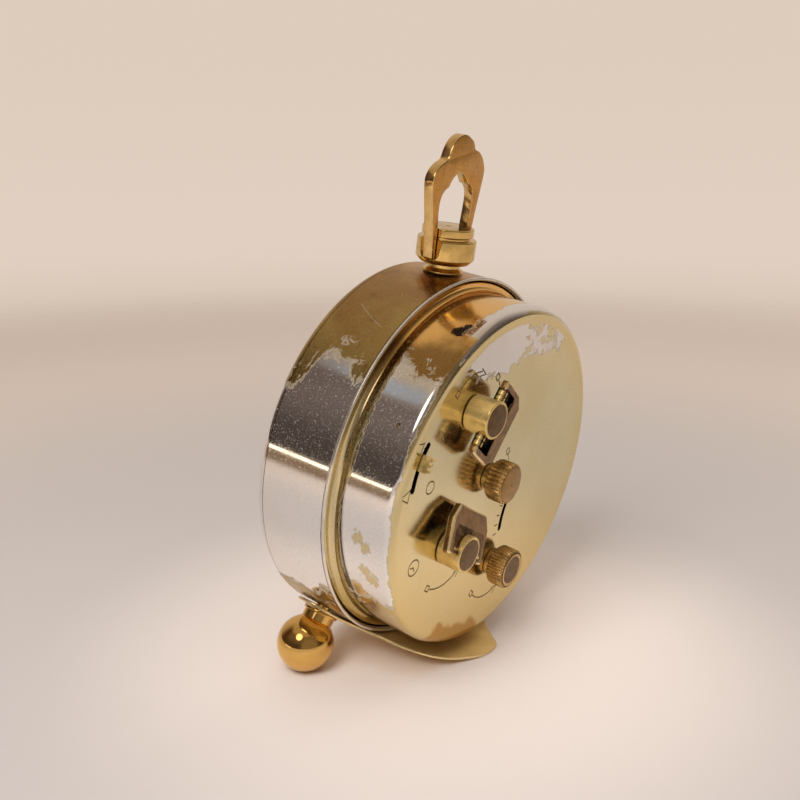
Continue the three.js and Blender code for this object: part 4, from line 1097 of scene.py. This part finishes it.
def handle_outline():
    """Flat pattern of the handle, (x, z): three lobes on top, two legs, a pointed arch inside.
    The loose handle hangs a little askew: its nine o'clock side is higher."""
    half = chain(
        (0.0, 49.8),
        ((1.5, 49.8), (2.75, 48.7), (3.2, 47.1), 8),
        ((3.3, 46.7), (3.5, 46.45), (3.9, 46.35), 3),
        ((5.3, 46.0), (6.65, 45.1), (6.65, 43.7), 8),
        ((6.6, 42.2), (5.85, 39.6), (5.5, 37.2), 6),
        ((5.15, 35.4), (4.8, 33.6), (4.7, LEG_FOOT + 0.4), 4),
    )
    half += arc((4.3, LEG_FOOT + 0.4), 0.4, -20, -160, 5)
    half += [(3.85, LEG_FOOT + 0.5), (3.9, 36.0)]
    half += chain(
        (4.15, 38.4),
        ((4.45, 41.0), (3.9, 42.0), (2.3, 42.5), 7),
        ((1.75, 43.6), (1.0, 44.1), (0.0, 44.4), 6),
    )
    whole = half + [(-a, b) for a, b in reversed(half[1:-1])]
    result = []
    for a, b in whole:
        high = min(max((b - 36) / 6, 0), 1)
        lobe = min(max((-a - 2) / 1.5, 0), 1) * min(max((b - 44.8) / 1.4, 0), 1)
        result.append((a, b - HANDLE_SKEW * a * high + LOBE_LIFT * lobe))
    return result


def add_handle():
    low, high = span("handle")
    bm = bmesh.new()
    layers = soft_layers(low.y, high.y, 0.14)
    prism(bm, handle_outline(), layers, side=1, chamfer=1)
    for side in (-1, 1):
        place = Matrix.Translation((0, STEM_Y, PIVOT_Z)) @ Matrix.Rotation(
            -side * math.pi / 2, 4, "Z")
        lathe(bm, rod(0.5, 3.0, 4.3), place, segments=24, material=1)
    piece("carry_handle", bm, ["handle", "handle_edge"], "handle", ["handle"])


# ---------------------------------------------------------------- winding keys
KEY_POST_R = 2.8
KEY_SHAFT_END = 9.3
LOOP_TILTS = {"time": 12.9, "alarm": 4.0}  # degrees from square to the post, at rest
LOOP_HALF = 5.8
LOOP_LENGTH = 6.4
LOOP_LEG = 1.4
LOOP_BAR = 3.2
LOOP_THICK = 1.3


def add_key_post(name):
    body = name + "_key"
    at = hinge_at(body + "_turn")
    bm = bmesh.new()
    front = COVER_BACK + 0.12
    outside = rounded([(0, front), (KEY_POST_R - 0.1, front), (KEY_POST_R, front + 0.1),
                       (KEY_POST_R, KEY_BACK - 0.05, 0.2), (KEY_POST_R - 0.45, KEY_BACK - 0.05)])
    lathe(bm, outside + [(KEY_POST_R - 0.5, KEY_BACK - 0.07), (0, KEY_BACK - 0.07)],
          arbor(at), segments=64)
    disc = [(0, KEY_BACK - 0.3), (KEY_POST_R - 0.42, KEY_BACK - 0.3),
            (KEY_POST_R - 0.42, KEY_BACK - 0.02), (KEY_POST_R - 0.55, KEY_BACK), (0, KEY_BACK)]
    lathe(bm, disc, arbor(at), segments=64, material=1)
    lathe(bm, rod(SHAFT_R, KEY_SHAFT_END, front + 0.2), arbor(at), segments=32)
    piece(body + "_post", bm, ["post", "patina"], body, [body])


def loop_outline():
    inner = LOOP_HALF - LOOP_LEG
    end = -LOOP_THICK / 2 - 0.3
    far = LOOP_LENGTH
    half = [
        (far - LOOP_BAR, inner, 0.5), (end, inner, 0.3), (end, LOOP_HALF, 0.45),
        (far - 2.1, LOOP_HALF, 0.35), (far, LOOP_HALF - 1.35, 0.35),
    ]
    return rounded(half + flipped(half), 4)


def pin_profile():
    """Section of a loop's pin, with two rings on each side of the post."""
    reach = LOOP_HALF - 0.08
    half = [(0.5, 0)]
    for start, end in ((KEY_POST_R + 0.1, 3.45), (3.6, LOOP_HALF - LOOP_LEG - 0.06)):
        half += [(0.5, start), (0.68, start, 0.08), (0.68, end, 0.08), (0.5, end)]
    half += [(0.5, reach, 0.12), (0, reach)]
    return rounded(flipped(half[1:]) + half[1:], 3)


def loop_heading(body, at):
    """Where a key's loop points at rest: square to its pin, on the side that the loop is on."""
    axis = TO_CLOCK.to_3x3() @ Vector(JOINTS[body + "_loop_fold"]["axis"])
    heading = math.atan2(-axis.x, axis.z)
    low, high = span(body + "_loop")
    offset = (low + high) / 2 - Vector((at[0], 0, at[1]))
    return heading if direction(heading).dot(offset) > 0 else heading + math.pi


def add_key_loop(name):
    body = name + "_key"
    at = hinge_at(body + "_turn")
    heading = loop_heading(body, at)
    tilt = Matrix.Rotation(-math.radians(LOOP_TILTS[name]), 4, "Z")
    place = arbor(at, heading) @ Matrix.Translation((0, PIN_Y, 0))
    bm = bmesh.new()
    half = LOOP_THICK / 2
    layers = [(0.3, -half), (0.05, -half + 0.22), (0, -half + 0.3),
              (0, half - 0.3), (0.05, half - 0.22), (0.3, half)]
    prism(bm, loop_outline(), layers, place @ tilt, side=0, chamfer=1)
    piece(body + "_bail", bm, ["aged", "edge"], body + "_loop", [body + "_loop"])

    bm = bmesh.new()
    along = Matrix.Rotation(math.pi / 2, 4, "X")
    lathe(bm, pin_profile(), place @ along, segments=28)
    piece(body + "_pivot", bm, ["post"], body, [body + "_pin"])


# ---------------------------------------------------------------- setting knobs
KNOB_R = 3.2
KNOB_NECK_R = 2.2
FLUTE_STEPS = 8


def add_knob(name, flutes, depth, end_material, dish):
    at = hinge_at(name + "_turn")
    outline = []
    for i in range(flutes * FLUTE_STEPS):
        phase = 2 * math.pi * i / FLUTE_STEPS
        lift = (0.5 + 0.5 * math.cos(phase)) ** 0.7
        radius = KNOB_R - depth * (1 - lift)
        outline.append((radius * math.cos(phase / flutes), radius * math.sin(phase / flutes)))
    back = KEY_BACK
    front = span(name)[1].y - (back - KNOB_FRONT)
    bm = bmesh.new()
    layers = [(0.45, front), (0.12, front + 0.18), (0, front + 0.45),
              (0, back - 0.45), (0.12, back - 0.2), (0.38, back - 0.05)]
    prism(bm, outline, layers, arbor(at), cap=1, chamfer=0)
    face = [(0, back - 0.3), (KNOB_R - 0.5, back - 0.3), (KNOB_R - 0.5, back - 0.03)]
    face += [(KNOB_R - 0.6, back)]
    if dish:
        face += [(KNOB_R - 0.85, back), (KNOB_R - 0.95, back - 0.05), (0, back - 0.05)]
        lathe(bm, face, arbor(at), segments=64, material=0)
        centre = rod(KNOB_R - 1.0, back - 0.2, back - 0.03)
        lathe(bm, centre, arbor(at), segments=64, material=1)
    else:
        face += [(0.22, back), (0.12, back - 0.08), (0, back - 0.08)]
        lathe(bm, face, arbor(at), segments=64, material=1)
    lathe(bm, rod(KNOB_NECK_R, COVER_BACK + 0.1, front + 0.2), arbor(at), segments=48)
    lathe(bm, rod(SHAFT_R, span(name)[0].y, COVER_BACK + 0.3), arbor(at), segments=32)
    piece(name + "_grip", bm, ["knob", end_material], name, [name], 32)


# ---------------------------------------------------------------- alarm lever
LEVER_HALF = 1.2
LEVER_INNER_END = 17.2
LEVER_TEETH = 3
TOOTH_DEPTH = 0.55


def add_lever():
    """Toothed tab standing on an arm that turns on its pivot behind the cover."""
    low, high = span("alarm_lever")
    half = LEVER_HALF
    top, notch = high.y, high.y - TOOTH_DEPTH
    edge = [(-half, LEVER_INNER_END), (half, LEVER_INNER_END), (half, notch - 0.1, 0.12)]
    for i in range(LEVER_TEETH):
        right = half - i * (2 * half / LEVER_TEETH)
        edge += [(right - 0.14, top, 0.08), (right - 0.42, top, 0.08)]
        edge += [(right - 0.68, notch, 0.06)] if i < LEVER_TEETH - 1 else []
    edge += [(-half, notch - 0.1, 0.12)]
    axes = Matrix(((0, 1, 0), (0, 0, 1), (1, 0, 0))).to_4x4()
    place = arbor(LEVER_AT, LEVER_HEADING)
    bm = bmesh.new()
    stand = place @ Matrix.Translation((LEVER_RADIUS, 0, 0)) @ axes
    prism(bm, rounded(edge, 3), soft_layers(-0.2, 0.2, 0.06), stand, chamfer=1)
    reach = LEVER_RADIUS + 0.2
    arm = arc((0, 0), 1.6, 30, 330, 20) + [(reach, -half), (reach, half)]
    prism(bm, arm, [(0, low.y + 0.7), (0, low.y + 1.2)], place)
    lathe(bm, rod(0.5, low.y, low.y + 1.0), place, segments=24)
    piece("alarm_lever_tab", bm, ["post", "edge"], "alarm_lever", ["alarm_lever"])


# ---------------------------------------------------------------- dial side
NUMERAL_SIZE = 4.6
NUMERAL_RING = 19.4
NUMERAL_THICK = 0.03
TICKS = (  # radius, count, how many to the hour, (length, width) of long and short ones
    (24.0, 60, 5, (1.8, 0.5), (1.1, 0.2)),
    (10.4, 48, 4, (1.2, 0.16), (0.7, 0.16)),
)
RING_LINES = (25.2, 22.7, 11.2)


def add_number(bm, number, size, at):
    """Adds a number to a mesh, upright on the dial at (x, z)."""
    curve = bpy.data.curves.new("numeral", "FONT")
    curve.body = str(number)
    curve.size = size
    curve.align_x = "CENTER"
    curve.align_y = "CENTER"
    curve.extrude = NUMERAL_THICK
    mesh = evaluated_mesh(link("numeral", curve))
    face_front = Matrix(((1, 0, 0), (0, 0, -1), (0, 1, 0))).to_4x4()
    mesh.transform(Matrix.Translation((at[0], span("dial")[0].y - 0.02, at[1])) @ face_front)
    bm.from_mesh(mesh)
    bpy.data.curves.remove(curve)
    bpy.data.meshes.remove(mesh)


def bar(bm, radius, length, width, heading, y0, y1):
    """Flat bar along a heading, centred at a radius."""
    half = length / 2
    outline = [(radius - half, -width / 2), (radius + half, -width / 2),
               (radius + half, width / 2), (radius - half, width / 2)]
    prism(bm, outline, [(0, y0), (0, y1)], Matrix.Rotation(-heading, 4, "Y"))


def add_dial():
    low, high = span("dial")
    plate = rounded([(2.3, high.y), (2.3, low.y, 0.1), (high.x, low.y, 0.12),
                     (high.x, high.y)], 3)
    turned_piece("dial_plate", plate, 128, "dial", "case", ["dial"])

    bm = bmesh.new()
    for hour in range(1, 13):
        heading = math.radians(90 - 30 * hour)
        place = direction(heading) * NUMERAL_RING
        add_number(bm, hour, NUMERAL_SIZE, (place.x, place.z))
    front, sunk = low.y - 0.05, low.y + 0.05
    for radius, count, hourly, long, short in TICKS:
        for i in range(count):
            length, width = long if i % hourly == 0 else short
            bar(bm, radius, length, width, math.radians(360 / count * i), front, sunk)
    for radius in RING_LINES:
        inner, outer = radius - 0.07, radius + 0.07
        lathe(bm, [(inner, front), (outer, front), (outer, sunk), (inner, sunk)], segments=128)
    piece("dial_numbers", bm, ["ink"], "case", sharp_angle=20)

    low, high = span("dial_ring")
    rim = rounded([(high.x - 0.4, low.y, 0.1), (high.x, low.y, 0.1), (high.x, high.y, 0.1),
                   (high.x - 1.5, high.y, 0.15)], 3)
    turned_piece("dial_rim", rim, 128, "lip", "case", ["dial_ring"])


def hand_outline(length, width, tail, hub):
    """Leaf-shaped hand along X with a round hub and a short tail."""
    bend = math.degrees(math.asin(width * 0.5 / hub))
    upper = chain(
        (hub, width * 0.5),
        ((length * 0.35, width * 0.5), (length * 0.45, width * 1.3),
         (length * 0.62, width * 1.25), 7),
        ((length * 0.8, width * 1.15), (length * 0.9, width * 0.4), (length, 0.06), 7),
    )[1:]
    back = arc((0, 0), hub, -bend, -180 + bend, 12)
    back += [(-tail, -width * 0.55), (-tail - 0.4, 0), (-tail, width * 0.55)]
    back += arc((0, 0), hub, 180 - bend, bend, 12)
    return upper + flipped(upper) + back


def add_hand(name, node, length, width, tail, hub, lume):
    low, high = span(node)
    centre = (low + high) / 2
    heading = math.atan2(centre.z, centre.x)
    place = Matrix.Rotation(-heading, 4, "Y")
    bm = bmesh.new()
    prism(bm, hand_outline(length, width, tail, hub), soft_layers(low.y, high.y, 0.06), place)
    if lume:
        leaf = chain((length * 0.36, 0), ((length * 0.44, width * 0.9),
                                          (length * 0.7, width * 1.3), (length * 0.84, 0), 8))
        leaf += flipped(leaf[1:-1])
        prism(bm, leaf, [(0, low.y - 0.03), (0, low.y + 0.1)], place, side=1, cap=1, chamfer=1)
    materials = ["hand", "lume"] if lume else ["collar"]
    piece(name, bm, materials, node, [node])


def add_hands():
    add_hand("minute_pointer", "minute_hand", 21, 1.2, 5, 1.5, True)
    add_hand("hour_pointer", "hour_hand", 14, 1.5, 4, 2.0, True)
    add_hand("alarm_pointer", "alarm_hand", 9, 0.7, 3, 2.4, False)
    front = span("minute_hand")[0].y
    cap = [(0, front - 0.75), (0.5, front - 0.7), (0.85, front - 0.4), (0.9, front - 0.02),
           (0, front - 0.02)]
    turned_piece("hand_nut", cap, 48, "collar", "minute_hand")


# ---------------------------------------------------------------- inner works
SLOT_MATERIALS = {
    "plated": "case",
    "satin_brass": "lip",
    "polished_brass": "collar",
    "aged_brass": "aged",
    "dial_paint": "dial",
    "hand_paint": "hand",
    "gilt": "collar",
    "movement_brass": "inner_brass",
    "steel": "steel",
    "spring_steel": "spring",
    "crystal_glass": "glass",
}


def dress_inner_works():
    """Gives each node that keeps its own shape its material."""
    for part in frame["record"]["subparts"]:
        node = frame["nodes"][part["node"]]
        if node.hide_render:
            continue
        material = MATERIALS[SLOT_MATERIALS[part["material_slot"]]]
        node.data.materials.clear()
        node.data.materials.append(material)


# ---------------------------------------------------------------- floor, light, surroundings
FLOOR_R = 0.43  # metres, as is the width of the faded edge
FLOOR_FADE = 0.17
# Painted light pool on the floor close to the clock, then a ring of painted shade, then the floor's own colour
# further out.
FLOOR_PAINTED_POOL = (0.88, 0.80, 0.76, 1)
FLOOR_PAINTED_SHADE = (0.57, 0.54, 0.53, 1)
FLOOR_FAR = (0.79, 0.70, 0.64, 1)
FLOOR_PAINTED_POOL_ENDS = (22, 72)  # millimetres from the clock's middle
FLOOR_FAR_STARTS = (90, 240)


def add_floor():
    bm = bmesh.new()
    bmesh.ops.create_circle(bm, cap_ends=True, segments=128, radius=FLOOR_R)
    mesh = bpy.data.meshes.new("floor")
    bm.to_mesh(mesh)
    bm.free()
    floor = link("floor", mesh)
    s = Surface("floor_paint", metallic=0.0)
    radius = s.length(s.x, s.y)
    cloud = s.times(s.add(s.noise(0.006, detail=3), -0.5), 0.3)
    # painted pool of light near the clock, fading into painted shade, then the floor's own colour far out
    near = s.step(s.add(radius, s.times(cloud, 30)), *FLOOR_PAINTED_POOL_ENDS)
    far = s.step(s.add(radius, s.times(cloud, 90)), *FLOOR_FAR_STARTS)
    s.colour(s.mix(far, s.mix(near, FLOOR_PAINTED_POOL, FLOOR_PAINTED_SHADE), FLOOR_FAR))
    s.rough(0.55)
    s.bump(s.noise(1.2, detail=4), 0.02)
    solid = s.step(radius, FLOOR_R / MM, (FLOOR_R - FLOOR_FADE) / MM)
    s.feed(s.shader.inputs["Alpha"], solid)
    mesh.materials.append(s.material)


LIGHTS = (  # azimuth, elevation, distance, size, power, colour
    ("key", 98, 46, 0.40, 0.19, 0.92, (1.0, 0.98, 0.97)),
    ("fill", 140, 62, 0.38, 0.34, 0.42, (0.96, 0.98, 1.0)),
    ("front", 250, 50, 0.60, 0.45, 0.5, (1.0, 0.97, 0.94)),
)
LIT_POINT = CLOCK.translation + Vector((0, 0.012, 0))


def add_light(name, azimuth, elevation, distance, size, power, colour):
    """Square soft light that looks at the clock from a direction in degrees."""
    data = bpy.data.lights.new(name, "AREA")
    data.size = size
    data.energy = power
    data.color = colour
    light = link(name, data)
    back = heading_vector(azimuth, elevation)
    light.location = LIT_POINT + back * distance
    light.rotation_euler = back.to_track_quat("Z", "Y").to_euler()
    light.visible_glossy = False


ROOM_DARK = (0.070, 0.052, 0.042, 1)
ROOM_DIM = (0.17, 0.13, 0.11, 1)
ROOM_CEILING = (0.46, 0.36, 0.26, 1)
ROOM_RED = (0.085, 0.042, 0.024, 1)
ROOM_WINDOW = (0.34, 0.35, 0.37, 1)
ROOM_KEY = (2.4, 2.2, 2.0, 1)
ROOM_WALL = (0.62, 0.52, 0.44, 1)
ROOM_BEHIND = (0.27, 0.22, 0.17, 1)
ROOM_SHELF = (0.25, 0.155, 0.09, 1)
ROOM_STRIP = (2.3, 1.9, 1.4, 1)
ROOM_STRIP_END = (0.62, 0.40, 0.24, 1)
ROOM_TABLE = (0.62, 0.54, 0.49, 1)
BACKDROP_LOW = (0.665, 0.545, 0.45, 1)
BACKDROP_MIDDLE = (0.753, 0.631, 0.533, 1)
BACKDROP_TOP = (0.723, 0.604, 0.503, 1)
WINDOW_ACROSS = (math.cos(0.82), math.sin(0.82), 0)


def add_world():
    """Pale wall for the eye, a dim warm room for the reflections."""
    world = bpy.data.worlds.new("room")
    bpy.context.scene.world = world
    world.use_nodes = True
    world.node_tree.nodes.clear()
    w = NodeTree(world.node_tree)
    place = w.new("ShaderNodeTexCoord").outputs["Generated"]
    up = w.split(place)[2]

    def toward(azimuth, elevation):
        """How closely a ray points to a direction, as a cosine."""
        return w.vector_value("DOT_PRODUCT", place, heading_vector(azimuth, elevation))

    aside = w.math("ABSOLUTE", w.vector_value("DOT_PRODUCT", place, WINDOW_ACROSS))
    tall = w.times(w.step(up, 0.68, 0.75), w.step(up, 0.84, 0.78))
    window = w.times(w.step(aside, 0.085, 0.02), tall)
    window = w.times(window, w.step(toward(47, 30), 0.3, 0.5))

    room = w.mix(w.step(up, 0.15, 0.60), ROOM_DARK, ROOM_DIM)
    room = w.mix(w.step(toward(5, 25), 0.70, 0.95), room, ROOM_RED)
    room = w.mix(w.step(up, 0.66, 0.84), room, ROOM_CEILING)
    room = w.mix(window, room, ROOM_WINDOW)
    room = w.mix(w.step(toward(98, 46), 0.965, 0.985), room, ROOM_KEY)
    room = w.mix(w.step(toward(-53, 15), 0.25, 0.8), room, ROOM_WALL)
    room = w.mix(w.step(toward(150, 8), 0.72, 0.93), room, ROOM_BEHIND)
    room = w.mix(w.step(up, 0.012, -0.002), room, ROOM_TABLE)
    strip = w.mix(w.step(toward(62, 0), 0.966, 0.980), ROOM_STRIP_END, ROOM_STRIP)
    shelf = w.mix(w.step(up, -0.024, -0.016), ROOM_SHELF, strip)
    shelf = w.mix(w.step(up, -0.22, -0.18), ROOM_TABLE, shelf)
    lamp_side = w.step(toward(52, 3), 0.86, 0.93)
    room = w.mix(w.times(lamp_side, w.step(up, 0.012, 0.006)), room, shelf)

    backdrop = w.mix(w.step(up, -0.17, -0.10), BACKDROP_LOW, BACKDROP_MIDDLE)
    backdrop = w.mix(w.step(up, -0.08, 0.08), backdrop, BACKDROP_TOP)
    seen = w.new("ShaderNodeLightPath").outputs["Is Camera Ray"]
    background = w.new("ShaderNodeBackground")
    w.feed(background.inputs[0], w.mix(seen, room, backdrop))
    w.feed(w.new("ShaderNodeOutputWorld").inputs[0], background.outputs[0])


add_front_case()
add_bezel()
add_crystal()
add_rear_cover()
add_strap()
add_foot("foot_right", math.pi - BALL_ANGLE)
add_foot("foot_left", math.pi + BALL_ANGLE)
add_handle_stem()
add_handle()
for key_name in ("time", "alarm"):
    add_key_post(key_name)
    add_key_loop(key_name)
add_knob("time_knob", 26, 0.26, "knob_end", False)
add_knob("alarm_knob", 38, 0.16, "patina", True)
add_lever()
add_dial()
add_hands()
dress_inner_works()
add_floor()
add_world()
for light_settings in LIGHTS:
    add_light(*light_settings)
bpy.context.scene.view_settings.view_transform = "Standard"
